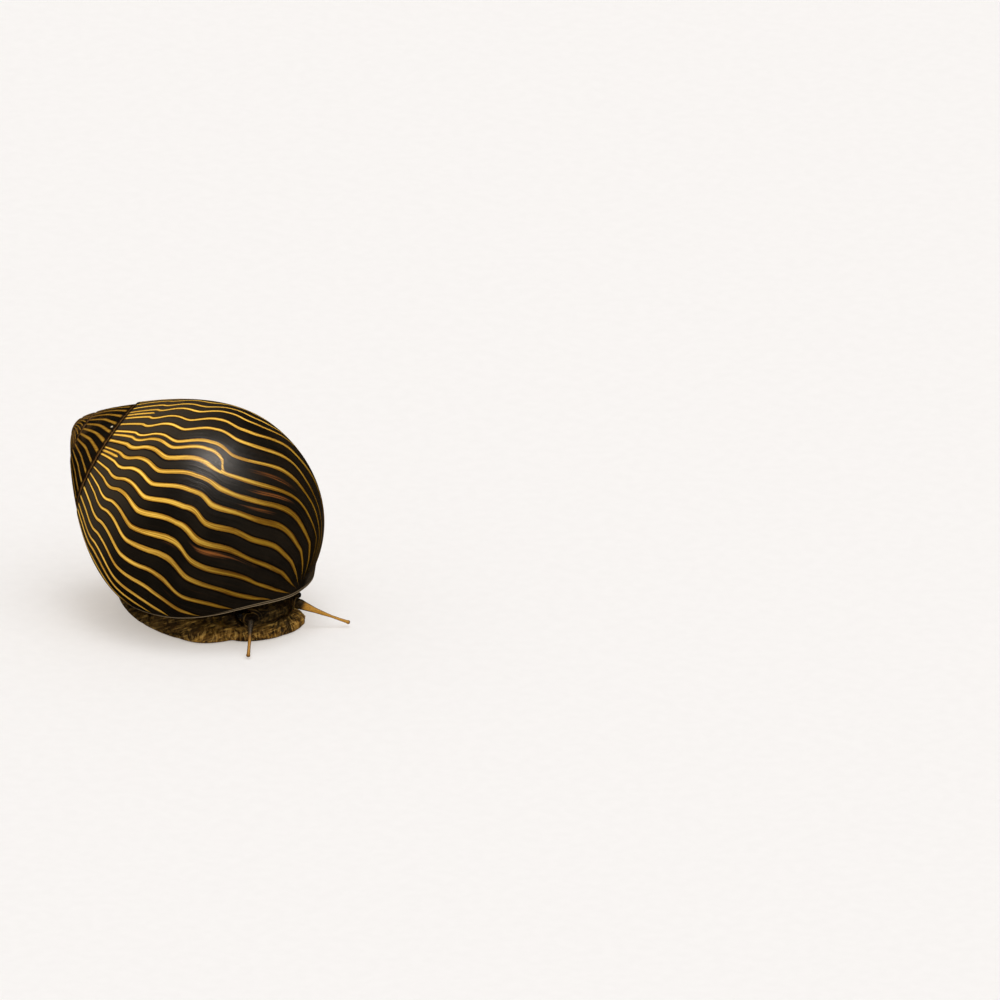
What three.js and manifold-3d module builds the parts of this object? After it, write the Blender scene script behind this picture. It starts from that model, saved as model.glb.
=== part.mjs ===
// A crawling zebra nerite snail, life size, in millimetres.
// +X is the way the snail faces, -Y is its right side, +Z is up, and the floor is Z = 0.
// The origin is on the floor under the middle of the whole animal, MIDDLE in the sizes below.
import * as THREE from 'three'
import { mergeVertices } from 'three/addons/utils/BufferGeometryUtils.js'
import Module from 'manifold-3d'

const wasm = await Module()
wasm.setup()

// Driving dimensions, in millimetres unless a name says otherwise.
const GAP = 0.3 // clearance between neighbouring pieces
const SMALL_GAP = 0.14 // clearance round the eyes
const FLESH_GAP = 0.05 // the flesh outside stops this far below the rim of the shell
const MIDDLE = new THREE.Vector3(-0.05, 0.78, 0) // middle of the whole animal on the floor

// The coil axis runs from the base pole up and back to the apex.
const APEX = new THREE.Vector3(-11.9, -2.4, 16.1) // where the coil axis leaves the shell at the back
const AXIS_RISE = 30.1 // degrees above the floor
const AXIS_TURN = 15.0 // degrees toward the snail's right
const SHELL_RADIUS = 10.4 // half width across the coil axis
const WIDEST_DEPTH = 14.6 // from the apex down the axis to the widest level
const SPIRE_RISE = 14.07 // from the widest level up to the blunt tip
const BASE_DEPTH = 24.9 // from the apex down the axis to the base pole
const SPIRE_WAIST = 0.49 // how far the spire is drawn in to a cone
const SPIRE_POWER = 0.97 // fullness of the upper half
const BASE_POWER = 0.88 // fullness of the lower half
const LAST_SUTURE = 7.1 // radius of the suture where the growing edge meets it
const SUTURE_GROWTH = 2.09 // how much the suture radius grows in one turn
const WHORL_GROWTH = 1.196 // how much the whorl itself grows in one early turn
const EDGE_SCALE = 0.934 // the last half turn draws in to this share
const SUTURE_BLEND = 0.12 // half width of the sloping step at the suture
const OLDEST_TURN = -2.6 // the whorls stop shrinking at this turn
const SEAM_SHARE = 0.08 // share of a turn in which the growing edge draws in
const SEAM_REACH = 1.5 // how far outside the suture it does so
const CAP_TURN = 0.022 // share of a turn in which a suture's cut steps out to the growing edge
const CAP_STEPS = 44
const CAP_REACH = 1.3 // the cuts end this far out, as a share of the shell
const CAP_SHIFT = GAP * 0.36 // offset in radius that parts two pieces by the gap on the sloping spire
const SPIRE_ROOT = [0.7, 0.72] // how deep the cut at the last suture goes, outside and inside it
const APEX_ROOT = [0.8, 0.82] // the same at the suture before

// Facets around the shell and from tip to base, outside and inside.
const SHELL_GRID = [58, 38]
const INSIDE_GRID = [40, 20]
const POLE_GAP = 0.03 // radians left out at each pole of the grid

// The mouth of the shell is almost flat, a little higher in front.
// It arches over the head and dips beside it.
const MOUTH_HEIGHT = 1.9 // plane height above the floor under the apex
const MOUTH_SLOPE = new THREE.Vector2(0.073, 0.061) // rise per millimetre along X and Y
const ARCH = { x: 8.4, y: -1.9, rise: 0.5, reach: 3.4 }
const DIP = { x: 2.5, y: -6.3, rise: -0.32, reach: 4.0 }
const WALL_SCALE = 0.915 // inner face of the rim, as a share of the shell
const LIP_SCALE = 0.95 // inner face of the thin lip edge
const LIP_DEPTH = 0.6
const FLARE = 0.4 // how far the front of the lip flares outward
const FLARE_HEIGHT = 1.3 // height of the flare above the mouth
const FLARE_BEARING = 38 // degrees left of straight ahead
const FLARE_POWER = 1.3 // how soon the flare fades upward
const BODY_SCALE = 0.885 // flesh inside the rim
const MOUTH_DEPTH = 3.2 // how far the flesh reaches into the shell
const DECK_DEPTH = 1.7 // depth of the flat deck beside the opening
const DECK_EDGE = 4.6 // the deck starts this far left of the middle

// The foot, measured along its own length from the tail tip.
const TAIL_X = -8.9
const FOOT_LENGTH = 15.6
const FOOT_HALF_WIDTH = 6.1
const FOOT_WIDEST = 0.76 // share of the length
const FOOT_MIDDLE_Y = [0.2, 1.0] // middle line at the tail and at the front
const TAIL_HEIGHT = [0.45, 1.4] // at the tail tip and where the body rises
const TAIL_SHARE = 0.45 // the tail reaches its full height at this share of the length
const FOOT_TOP = 5.5 // the foot rises this high into the shell
const FOOT_SQUARENESS = 0.45 // power of its rounded section
const FOOT_SLOPE = 0.2 // its sides lean in by this share
const HEM_HEIGHT = 0.2
const NECK_START = -2.4
const NECK_END = 2.4
const FRONT_HEIGHT = 1.35
const FOOT_CUTS = [-2.3, 2.6] // where the tail, middle and front part

// The two oral lobes in front of the foot.
const LOBE_CENTRE = new THREE.Vector2(5.9, 1.7)
const LOBE_RADII = new THREE.Vector3(3.2, 4.6, 1.7)
const LOBE_TURN = -8 // degrees
const LOBE_FOLDS = 22
const LOBE_FOLD_DEPTH = 0.13

// Lips and mouth, placed along, across and above the middle of the lobes.
const MOUTH_PLACE = [3.0, 0, 0.75]
const MOUTH_RADII = new THREE.Vector3(0.5, 0.32, 0.42)
const LIP_PLACE = [2.55, 0.55, 0.85]
const LIP_RADII = new THREE.Vector3(0.75, 0.42, 0.62)

// The head above the lobes.
const HEAD_CENTRE = new THREE.Vector3(5.7, 0.85, 2.4)
const HEAD_RADII = new THREE.Vector3(3.5, 4.25, 1.95)

// Tentacles, from root to tip, right first.
const TENTACLES = {
  right: { root: [8.1, -2.0, 2.3], knee: [9.5, -3.75, 1.3], tip: [10.28, -4.9, 0.24] },
  left: { root: [8.6, 3.9, 2.2], knee: [10.1, 5.2, 1.3], tip: [11.8, 6.9, 0.38] }
}
const TENTACLE_RADII = [0.46, 0.3, 0.25, 0.25]
const TENTACLE_STEPS = 8 // rings in each length
const TENTACLE_SIDES = 10
const TENTACLE_LENGTHS = ['base', 'middle', 'tip']

const EYE_STALKS = {
  right: { root: [7.5, -1.7, 2.2], tip: [7.6, -2.85, 2.8] },
  left: { root: [7.5, 3.7, 2.2], tip: [7.65, 4.8, 2.55] }
}
const EYE_STALK_RADIUS = 0.58
const EYE_RADIUS = 0.27

// The operculum lies on the back of the tail.
const OPERCULUM = { centre: [-5.3, 0.4, 1.72], length: 5.6, width: 4.6, thick: 0.55, tilt: -6 }

const FAR = 60 // longer than anything here
const OVERLAP = 0.01
const TURN = Math.PI * 2
const rad = THREE.MathUtils.degToRad

// Colour, roughness and metalness of each finish.
const FINISH = {
  shell: [0x241d16, 0.28, 0.0],
  spire: [0x5b4320, 0.34, 0.0],
  deck: [0xb9ad92, 0.4, 0.0],
  horn: [0x3a2a1c, 0.45, 0.0],
  foot: [0x574a2e, 0.55, 0.0],
  lobe: [0x7d6a42, 0.5, 0.0],
  head: [0x3d2f1b, 0.5, 0.0],
  tentacle: [0x6e5526, 0.4, 0.0],
  eye: [0x0b0a0a, 0.12, 0.0]
}

const snail = new THREE.Group()

function addPiece (name, geometry, finish) {
  const [color, roughness, metalness] = FINISH[finish]
  const piece = new THREE.Mesh(geometry, new THREE.MeshStandardMaterial({ color, roughness, metalness }))
  piece.name = name
  snail.add(piece)
}

// Closed meshes and solids.

function signedVolume (position, index) {
  const a = new THREE.Vector3()
  const b = new THREE.Vector3()
  const c = new THREE.Vector3()
  let sum = 0
  for (let i = 0; i < index.length; i += 3) {
    a.fromArray(position, index[i] * 3)
    b.fromArray(position, index[i + 1] * 3)
    c.fromArray(position, index[i + 2] * 3)
    sum += a.dot(b.cross(c)) / 6
  }
  return sum
}

function solidFrom (points, triangles) {
  const position = new Float32Array(points.flatMap((p) => [p.x, p.y, p.z]))
  const index = new Uint32Array(triangles.flat())
  if (signedVolume(position, index) < 0) {
    for (let i = 0; i < index.length; i += 3) {
      const second = index[i + 1]
      index[i + 1] = index[i + 2]
      index[i + 2] = second
    }
  }
  return new wasm.Manifold(new wasm.Mesh({ numProp: 3, vertProperties: position, triVerts: index }))
}

function solidOf (geometry) {
  geometry.deleteAttribute('normal')
  geometry.deleteAttribute('uv')
  const merged = mergeVertices(geometry, 1e-4)
  const vertProperties = new Float32Array(merged.attributes.position.array)
  const triVerts = new Uint32Array(merged.index.array)
  return new wasm.Manifold(new wasm.Mesh({ numProp: 3, vertProperties, triVerts }))
}

// Only the largest closed surface of a solid, as a geometry.
function geometryOf (solid) {
  const pieces = solid.decompose()
  pieces.sort((a, b) => b.volume() - a.volume())
  const mesh = pieces[0].getMesh()
  const geometry = new THREE.BufferGeometry()
  geometry.setAttribute('position', new THREE.BufferAttribute(new Float32Array(mesh.vertProperties), 3))
  geometry.setIndex(new THREE.BufferAttribute(new Uint32Array(mesh.triVerts), 1))
  geometry.computeVertexNormals()
  return geometry
}

// A closed body through rings of equal length, with a point at the middle of each end.
function loft (rings) {
  const sides = rings[0].length
  const points = rings.flat()
  const triangles = []
  for (let i = 0; i + 1 < rings.length; i += 1) {
    for (let j = 0; j < sides; j += 1) {
      const a = i * sides + j
      const b = i * sides + (j + 1) % sides
      triangles.push([a, b, b + sides], [a, b + sides, a + sides])
    }
  }
  const lastStart = (rings.length - 1) * sides
  for (const [ring, start, flip] of [[rings[0], 0, true], [rings.at(-1), lastStart, false]]) {
    const middle = new THREE.Vector3()
    ring.forEach((p) => middle.addScaledVector(p, 1 / sides))
    const centre = points.push(middle) - 1
    for (let j = 0; j < sides; j += 1) {
      const a = start + j
      const b = start + (j + 1) % sides
      triangles.push(flip ? [b, a, centre] : [a, b, centre])
    }
  }
  return solidFrom(points, triangles)
}

function ellipsoid (centre, radii, grow = 0, around = 28) {
  const geometry = new THREE.SphereGeometry(1, around, Math.round(around * 0.6))
  geometry.scale(radii.x + grow, radii.y + grow, radii.z + grow)
  geometry.translate(centre.x, centre.y, centre.z)
  return solidOf(geometry)
}

// A block between two X values, used to part the foot.
function slice (fromX, toX) {
  const geometry = new THREE.BoxGeometry(toX - fromX, FAR, FAR)
  geometry.translate((fromX + toX) / 2, 0, 0)
  return solidOf(geometry)
}

// The coil frame.
const axis = new THREE.Vector3(
  -Math.cos(rad(AXIS_RISE)) * Math.cos(rad(AXIS_TURN)),
  -Math.cos(rad(AXIS_RISE)) * Math.sin(rad(AXIS_TURN)),
  Math.sin(rad(AXIS_RISE))
)
const under = new THREE.Vector3(0, 0, -1).addScaledVector(axis, axis.z).normalize()
const side = new THREE.Vector3().crossVectors(axis, under)
const heart = APEX.clone().addScaledVector(axis, -WIDEST_DEPTH)

const smooth = (x) => THREE.MathUtils.smoothstep(x, 0, 1)

// Size of the whorl at turn t, where 0 is the growing edge and earlier turns are negative.
function whorlScale (t) {
  const early = Math.pow(WHORL_GROWTH, Math.min(Math.max(t, OLDEST_TURN) + 0.5, 0))
  return early * (1 - (1 - EDGE_SCALE) * smooth((t + 0.5) / 0.5))
}

const sutureRadius = (t) => LAST_SUTURE * Math.pow(SUTURE_GROWTH, t) * whorlScale(t)

// Size of the last whorl, which meets the one before it where it starts.
function outerScale (fraction, radius) {
  const seam = smooth((fraction + SEAM_SHARE) / SEAM_SHARE)
  const outside = smooth((radius - sutureRadius(0)) / SEAM_REACH)
  return whorlScale(fraction) + (whorlScale(-1) - whorlScale(0)) * seam * outside
}

// The radius of a whorl on its spire side, from level 0 at its widest to 90 degrees at its tip.
function spireRadius (scale, level) {
  const up = Math.sin(level)
  const round = Math.max(Math.cos(level), 0)
  return SHELL_RADIUS * scale * Math.pow(round, SPIRE_POWER) * (1 - SPIRE_WAIST * up * up)
}

// The depth under the apex at which a whorl has a radius, on its spire side.
function spireDepth (scale, radius) {
  let low = 0
  let high = Math.PI / 2
  for (let i = 0; i < 30; i += 1) {
    const middle = (low + high) / 2
    if (spireRadius(scale, middle) > radius) low = middle
    else high = middle
  }
  return (WIDEST_DEPTH - SPIRE_RISE * Math.sin(low)) * scale
}

// The depth of the layered spire: each older whorl shows inside its suture.
function layeredDepth (fraction, radius) {
  let depth = spireDepth(outerScale(fraction, radius), radius)
  for (let back = 0; back < 3; back += 1) {
    const inside = smooth((sutureRadius(fraction - back) - radius) / (2 * SUTURE_BLEND) + 0.5)
    const older = spireDepth(whorlScale(fraction - back - 1), radius)
    depth += (older - spireDepth(whorlScale(fraction - back), radius)) * inside
  }
  return depth
}

function bump (x, y, { x: cx, y: cy, rise, reach }) {
  return rise * Math.exp(-(Math.pow(x - cx, 2) + Math.pow(y - cy, 2)) / (reach * reach))
}

// Height of the rim of the shell's mouth above the floor.
function mouthHeight (x, y) {
  const plane = MOUTH_HEIGHT + MOUTH_SLOPE.x * (x - APEX.x) + MOUTH_SLOPE.y * (y - APEX.y)
  return plane + bump(x, y, ARCH) + bump(x, y, DIP)
}

// The lip turns outward a little in front, close above the mouth.
function flared (point) {
  const above = point.z - mouthHeight(point.x, point.y)
  const out = new THREE.Vector3(point.x - heart.x, point.y - heart.y, 0).normalize()
  const bearing = rad(FLARE_BEARING)
  const facing = out.x * Math.cos(bearing) + out.y * Math.sin(bearing)
  const low = THREE.MathUtils.clamp(1 - above / FLARE_HEIGHT, 0, 1)
  return point.addScaledVector(out, FLARE * Math.pow(low, FLARE_POWER) * smooth((facing - 0.3) / 0.6))
}

function coilPoint (fraction, radius, depth) {
  const angle = -TURN * fraction
  return APEX.clone()
    .addScaledVector(under, radius * Math.cos(angle))
    .addScaledVector(side, radius * Math.sin(angle))
    .addScaledVector(axis, -depth)
}

// A point of the shell's outer surface, at a share of a turn from -1 to 0 and a level.
// The level runs from +90 degrees at the apex through 0 at the widest to -90 at the base.
function shellPoint (fraction, level) {
  const scale = outerScale(fraction, SHELL_RADIUS)
  if (level > 0) {
    const radius = spireRadius(scale, level)
    return flared(coilPoint(fraction, radius, layeredDepth(fraction, radius)))
  }
  const radius = SHELL_RADIUS * scale * Math.pow(Math.max(Math.cos(level), 0), BASE_POWER)
  const middle = WIDEST_DEPTH * scale
  return flared(coilPoint(fraction, radius, middle - (BASE_DEPTH - middle) * Math.sin(level)))
}

function shellSolid (scale, [around, levels]) {
  const top = Math.PI / 2 - POLE_GAP
  const rings = []
  for (let i = 0; i <= levels; i += 1) {
    const level = top - (2 * top * i) / levels
    const ring = []
    for (let j = 0; j < around; j += 1) {
      const p = shellPoint(-j / around, level)
      ring.push(p.sub(heart).multiplyScalar(scale).add(heart))
    }
    rings.push(ring)
  }
  return loft(rings)
}

// A cone cap from the heart of the shell out through a suture, wider or narrower by an offset.
function sutureCap (back, offset, innerShare) {
  const plan = []
  for (let i = 0; i <= CAP_STEPS; i += 1) {
    const fraction = -1 + CAP_TURN + ((1 - CAP_TURN) * i) / CAP_STEPS
    const angle = -TURN * fraction
    const bearing = new THREE.Vector2(Math.cos(angle), Math.sin(angle))
    plan.push(bearing.multiplyScalar(sutureRadius(fraction - back)))
  }
  const inner = []
  const outer = []
  plan.forEach((point, i) => {
    const before = plan[(i + CAP_STEPS) % (CAP_STEPS + 1)]
    const after = plan[(i + 1) % (CAP_STEPS + 1)]
    const along = after.clone().sub(before).normalize()
    const away = new THREE.Vector2(-along.y, along.x).multiplyScalar(offset)
    const moved = point.clone().add(away)
    const fraction = -moved.angle() / TURN
    const depth = layeredDepth(fraction, moved.length())
    const edge = coilPoint(fraction, moved.length(), depth).sub(heart)
    inner.push(edge.clone().multiplyScalar(innerShare).add(heart))
    outer.push(edge.clone().multiplyScalar(CAP_REACH).add(heart))
  })
  return loft([inner, outer])
}

// A sheet of space that follows the mouth of the shell, between two heights above it.
function mouthSlab (low, high) {
  const reach = 15
  const cells = 12
  const columns = cells + 1
  const points = []
  const triangles = []
  for (const offset of [low, high]) {
    for (let i = 0; i <= cells; i += 1) {
      for (let j = 0; j <= cells; j += 1) {
        const x = -reach + (2 * reach * i) / cells
        const y = -reach + (2 * reach * j) / cells
        points.push(new THREE.Vector3(x, y, mouthHeight(x, y) + offset))
      }
    }
  }
  const upper = columns * columns
  const edge = []
  for (let i = 0; i < cells; i += 1) {
    edge.push([i * columns, (i + 1) * columns], [(i + 1) * columns + cells, i * columns + cells])
    edge.push([i + 1, i], [cells * columns + i, cells * columns + i + 1])
    for (let j = 0; j < cells; j += 1) {
      const a = i * columns + j
      const b = a + columns
      triangles.push([a, b + 1, b], [a, a + 1, b + 1])
      triangles.push([upper + a, upper + b, upper + b + 1], [upper + a, upper + b + 1, upper + a + 1])
    }
  }
  for (const [a, b] of edge) triangles.push([a, b, upper + b], [a, upper + b, upper + a])
  return solidFrom(points, triangles)
}

// The half of space left of the deck's straight edge, which runs beside the coil axis.
function deckSide (offset) {
  const geometry = new THREE.BoxGeometry(FAR, FAR, FAR)
  geometry.translate(0, FAR / 2 + DECK_EDGE + offset, 0)
  geometry.rotateZ(rad(AXIS_TURN / 2))
  return solidOf(geometry)
}

// Shell.

const above = mouthSlab(0, FAR)
const whole = shellSolid(1, SHELL_GRID)
const opening = shellSolid(WALL_SCALE, INSIDE_GRID)
const thinEdge = shellSolid(LIP_SCALE, INSIDE_GRID)
const filling = shellSolid(BODY_SCALE, INSIDE_GRID)

const hollow = opening.intersect(mouthSlab(-1, MOUTH_DEPTH)).subtract(deckSide(0))
const deckHollow = opening.intersect(mouthSlab(-1, DECK_DEPTH)).intersect(deckSide(-OVERLAP))
const bevel = thinEdge.intersect(mouthSlab(-1, LIP_DEPTH))
const shell = whole.intersect(above).subtract(hollow).subtract(deckHollow).subtract(bevel)

const bodyWhorl = shell.subtract(sutureCap(0, CAP_SHIFT, SPIRE_ROOT[0]))
const innerWhorls = shell.intersect(sutureCap(0, -CAP_SHIFT, SPIRE_ROOT[1]))
const spire = innerWhorls.subtract(sutureCap(1, CAP_SHIFT, APEX_ROOT[0]))
const apex = shell.intersect(sutureCap(1, -CAP_SHIFT, APEX_ROOT[1]))
addPiece('shell_body_whorl', geometryOf(bodyWhorl), 'shell')
addPiece('shell_spire', geometryOf(spire), 'spire')
addPiece('shell_apex', geometryOf(apex), 'spire')

const deck = filling.intersect(mouthSlab(GAP, DECK_DEPTH - GAP)).intersect(deckSide(GAP))
addPiece('shell_columellar_deck', geometryOf(deck), 'deck')

const mantle = filling.intersect(mouthSlab(GAP, MOUTH_DEPTH - GAP)).subtract(deckSide(0))
addPiece('mantle_edge', geometryOf(mantle), 'foot')

// Foot.

function footHalfWidth (share) {
  if (share < FOOT_WIDEST) {
    return FOOT_HALF_WIDTH * Math.pow(Math.sin((Math.PI / 2) * share / FOOT_WIDEST), 0.8)
  }
  const past = (share - FOOT_WIDEST) / (1 - FOOT_WIDEST)
  return FOOT_HALF_WIDTH * Math.sqrt(Math.max(1 - Math.pow(past, 3), 0))
}

function footHeight (x, share) {
  const tail = THREE.MathUtils.lerp(TAIL_HEIGHT[0], TAIL_HEIGHT[1], smooth(share / TAIL_SHARE))
  if (x < 0) return tail + (FOOT_TOP - tail) * smooth((x - NECK_START) / 2)
  return FOOT_TOP + (FRONT_HEIGHT - FOOT_TOP) * smooth((x - NECK_END) / 2.5)
}

// The foot as rings from the tail to the front, each an arch over a flat sole.
function footSolid (grow) {
  const stations = 30
  const arc = 16
  const rings = []
  for (let i = 0; i <= stations; i += 1) {
    const share = 0.5 - 0.5 * Math.cos((Math.PI * (i + 0.35)) / (stations + 0.7))
    const x = TAIL_X + FOOT_LENGTH * share + (share - 0.5) * 2 * grow
    const half = footHalfWidth(share) + grow
    const middle = THREE.MathUtils.lerp(FOOT_MIDDLE_Y[0], FOOT_MIDDLE_Y[1], share)
    const height = footHeight(x, share) + grow
    const ring = []
    for (let j = 0; j <= arc; j += 1) {
      const angle = (Math.PI * j) / arc
      const across = Math.sign(Math.cos(angle)) * Math.pow(Math.abs(Math.cos(angle)), FOOT_SQUARENESS)
      const up = Math.pow(Math.sin(angle), 0.9)
      const width = half * across * (1 - FOOT_SLOPE * up)
      ring.push(new THREE.Vector3(x, middle - width, HEM_HEIGHT + (height - HEM_HEIGHT) * up))
    }
    for (const y of [0.95 * half, 0, -0.95 * half]) ring.push(new THREE.Vector3(x, middle + y, -grow))
    rings.push(ring)
  }
  return loft(rings)
}

const belowMouth = mouthSlab(-FAR, -FLESH_GAP)
const foot = footSolid(0).intersect(belowMouth)
const [tailCut, frontCut] = FOOT_CUTS
addPiece('foot_tail', geometryOf(foot.intersect(slice(-FAR, tailCut - GAP / 2))), 'foot')
addPiece('foot_middle', geometryOf(foot.intersect(slice(tailCut + GAP / 2, frontCut - GAP / 2))), 'foot')
addPiece('foot_front', geometryOf(foot.intersect(slice(frontCut + GAP / 2, FAR))), 'foot')

// Oral lobes, one each side of a cleft, with folds that run out to the rim.

function lobeSolid (grow, around = 88) {
  const levels = 8
  const rings = []
  for (let i = 0; i <= levels; i += 1) {
    const share = i / levels
    const rise = Math.sin((Math.PI / 2) * Math.min(share / 0.96, 1))
    const ring = []
    for (let j = 0; j < around; j += 1) {
      const angle = (TURN * j) / around
      const fold = 1 + LOBE_FOLD_DEPTH * 0.35 * Math.cos(LOBE_FOLDS * angle)
      const reach = Math.sqrt(Math.max(1 - rise * rise, 0.0004)) * (share < 0.001 ? 0.95 : fold)
      const x = (LOBE_RADII.x + grow) * reach * Math.cos(angle)
      const y = (LOBE_RADII.y + grow) * reach * Math.sin(angle)
      const crest = 1 + LOBE_FOLD_DEPTH * 0.5 * Math.cos(LOBE_FOLDS * angle) * reach
      const z = (LOBE_RADII.z + grow) * rise * crest
      ring.push(new THREE.Vector3(x, y, Math.max(z, 0) - (share < 0.001 ? grow : 0)))
    }
    rings.push(ring)
  }
  const turn = new THREE.Matrix4().makeRotationZ(rad(LOBE_TURN))
  turn.setPosition(LOBE_CENTRE.x, LOBE_CENTRE.y, 0)
  rings.flat().forEach((p) => p.applyMatrix4(turn))
  return loft(rings)
}

// A half of the lobes, left for +1 and right for -1, parted at the mouth.
function lobeHalf (hand) {
  const geometry = new THREE.BoxGeometry(FAR, FAR, FAR)
  geometry.translate(0, hand * (FAR / 2 + GAP / 2), 0)
  geometry.rotateZ(rad(LOBE_TURN))
  geometry.translate(LOBE_CENTRE.x, LOBE_CENTRE.y, 0)
  return solidOf(geometry)
}

// The mouth is an oval opening at the cleft, with a raised lip along each side.
function atCleft (along, across, height) {
  return new THREE.Vector3(along, across, height)
    .applyAxisAngle(new THREE.Vector3(0, 0, 1), rad(LOBE_TURN))
    .add(new THREE.Vector3(LOBE_CENTRE.x, LOBE_CENTRE.y, 0))
}

const mouth = ellipsoid(atCleft(...MOUTH_PLACE), MOUTH_RADII, 0, 14)
const plainLobes = lobeSolid(0)
for (const [name, hand] of [['right', -1], ['left', 1]]) {
  const [along, across, height] = LIP_PLACE
  const lip = ellipsoid(atCleft(along, hand * across, height), LIP_RADII, 0, 14)
  const lobe = plainLobes.add(lip)
    .subtract(mouth)
    .subtract(footSolid(GAP))
    .intersect(belowMouth)
    .intersect(lobeHalf(hand))
  addPiece(`oral_lobe_${name}`, geometryOf(lobe), 'lobe')
}

// Tentacles, eye stalks and eyes.

const vector = (list) => new THREE.Vector3(...list)

function tentacleRadius (share) {
  const place = share * (TENTACLE_RADII.length - 1)
  const i = Math.min(Math.floor(place), TENTACLE_RADII.length - 2)
  return THREE.MathUtils.lerp(TENTACLE_RADII[i], TENTACLE_RADII[i + 1], place - i)
}

// A tapered round body along a curve, between two shares of its length.
function limb (curve, radiusAt, from, to, steps, sides, roundEnd) {
  const rings = []
  const up = new THREE.Vector3(0, 0, 1)
  for (let i = 0; i <= steps; i += 1) {
    const share = from + ((to - from) * i) / steps
    const centre = curve.getPointAt(share)
    const tangent = curve.getTangentAt(share)
    const across = new THREE.Vector3().crossVectors(up, tangent).normalize()
    const rise = new THREE.Vector3().crossVectors(tangent, across)
    const tip = roundEnd ? Math.min((to - share) / (to - from) * 3.2, 1) : 1
    const radius = radiusAt(share) * Math.sqrt(Math.max(1 - Math.pow(1 - tip, 2), 0.02))
    const ring = []
    for (let j = 0; j < sides; j += 1) {
      const angle = (TURN * j) / sides
      ring.push(centre.clone()
        .addScaledVector(across, radius * Math.cos(angle))
        .addScaledVector(rise, radius * Math.sin(angle)))
    }
    rings.push(ring)
  }
  return loft(rings)
}

const tentacleCurve = ({ root, knee, tip }) => new THREE.QuadraticBezierCurve3(
  vector(root), vector(knee), vector(tip))

const stalkCurve = ({ root, tip }) => new THREE.LineCurve3(vector(root), vector(tip))

function addTentacle (hand) {
  const curve = tentacleCurve(TENTACLES[hand])
  const gapShare = GAP / curve.getLength()
  TENTACLE_LENGTHS.forEach((name, i) => {
    const from = i / 3 + (i > 0 ? gapShare / 2 : 0)
    const to = (i + 1) / 3 - (i < 2 ? gapShare / 2 : 0)
    const part = limb(curve, tentacleRadius, from, to, TENTACLE_STEPS, TENTACLE_SIDES, i === 2)
    addPiece(`tentacle_${hand}_${name}`, geometryOf(part), 'tentacle')
  })
}

const socketTools = []
for (const hand of ['right', 'left']) {
  addTentacle(hand)
  const curve = stalkCurve(EYE_STALKS[hand])
  const stalkRadius = (share) => EYE_STALK_RADIUS * (1 - 0.35 * share)
  const eyeCentre = vector(EYE_STALKS[hand].tip)
  const eye = new THREE.Vector3(EYE_RADIUS, EYE_RADIUS, EYE_RADIUS)
  const root = tentacleCurve(TENTACLES[hand])
  const clearance = limb(root, (share) => tentacleRadius(share) + GAP, 0, 0.6, 4, 10, false)
  const stalk = limb(curve, stalkRadius, 0.3, 1, 4, 12, false)
    .subtract(ellipsoid(eyeCentre, eye, SMALL_GAP, 12))
    .subtract(clearance)
  addPiece(`eye_stalk_${hand}`, geometryOf(stalk), 'head')
  addPiece(`eye_${hand}`, geometryOf(ellipsoid(eyeCentre, eye, 0, 12)), 'eye')
  socketTools.push(limb(curve, (share) => stalkRadius(share) + GAP, 0, 1.0, 3, 12, false))
  socketTools.push(clearance)
}

// Head, cut clear of the foot, the lobes, the lips and the limbs.

let head = ellipsoid(HEAD_CENTRE, HEAD_RADII, 0, 32)
  .subtract(footSolid(GAP))
  .subtract(lobeSolid(GAP, 44))
  .intersect(belowMouth)
for (const hand of [-1, 1]) {
  const [along, across, height] = LIP_PLACE
  head = head.subtract(ellipsoid(atCleft(along, hand * across, height), LIP_RADII, GAP, 14))
}
for (const tool of socketTools) head = head.subtract(tool)
addPiece('head', geometryOf(head), 'head')

// Operculum, an oval plate with bevelled edges that lies on the tail.

function operculumSolid () {
  const { centre, length, width, thick, tilt } = OPERCULUM
  const outline = new THREE.Shape()
  outline.absellipse(0, 0, length / 2, width / 2, 0, TURN)
  const geometry = new THREE.ExtrudeGeometry(outline, {
    depth: thick * 0.6,
    bevelEnabled: true,
    bevelThickness: thick * 0.2,
    bevelSize: 0.15,
    bevelSegments: 1,
    curveSegments: 14
  })
  geometry.rotateY(rad(tilt))
  geometry.translate(...centre)
  return solidOf(geometry)
}
addPiece('operculum', geometryOf(operculumSolid()), 'horn')

snail.position.copy(MIDDLE).negate()

export default snail
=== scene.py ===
"""A zebra nerite snail crawling on a pale floor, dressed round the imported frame."""

import math

import bpy
import numpy as np
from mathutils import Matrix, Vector


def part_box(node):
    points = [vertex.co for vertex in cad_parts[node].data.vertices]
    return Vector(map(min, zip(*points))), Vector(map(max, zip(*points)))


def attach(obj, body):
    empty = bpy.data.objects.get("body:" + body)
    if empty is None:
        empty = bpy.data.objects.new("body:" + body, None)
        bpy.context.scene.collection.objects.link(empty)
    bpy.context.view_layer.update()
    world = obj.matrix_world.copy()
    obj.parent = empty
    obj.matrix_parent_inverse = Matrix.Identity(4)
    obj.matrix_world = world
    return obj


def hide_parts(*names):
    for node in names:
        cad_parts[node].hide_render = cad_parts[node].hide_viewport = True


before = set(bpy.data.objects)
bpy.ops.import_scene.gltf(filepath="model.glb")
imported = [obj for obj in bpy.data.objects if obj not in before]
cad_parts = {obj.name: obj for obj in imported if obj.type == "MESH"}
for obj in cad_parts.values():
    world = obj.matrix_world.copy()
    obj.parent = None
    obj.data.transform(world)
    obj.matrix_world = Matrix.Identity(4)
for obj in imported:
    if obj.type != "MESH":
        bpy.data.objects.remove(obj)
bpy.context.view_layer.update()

# Sizes are in millimetres in the frame of the CAD sizes; the row frame is that less MIDDLE, in metres.
MM = 0.001
MIDDLE = np.array((-0.05, 0.78, 0.0))
TURN = 2 * math.pi

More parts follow.
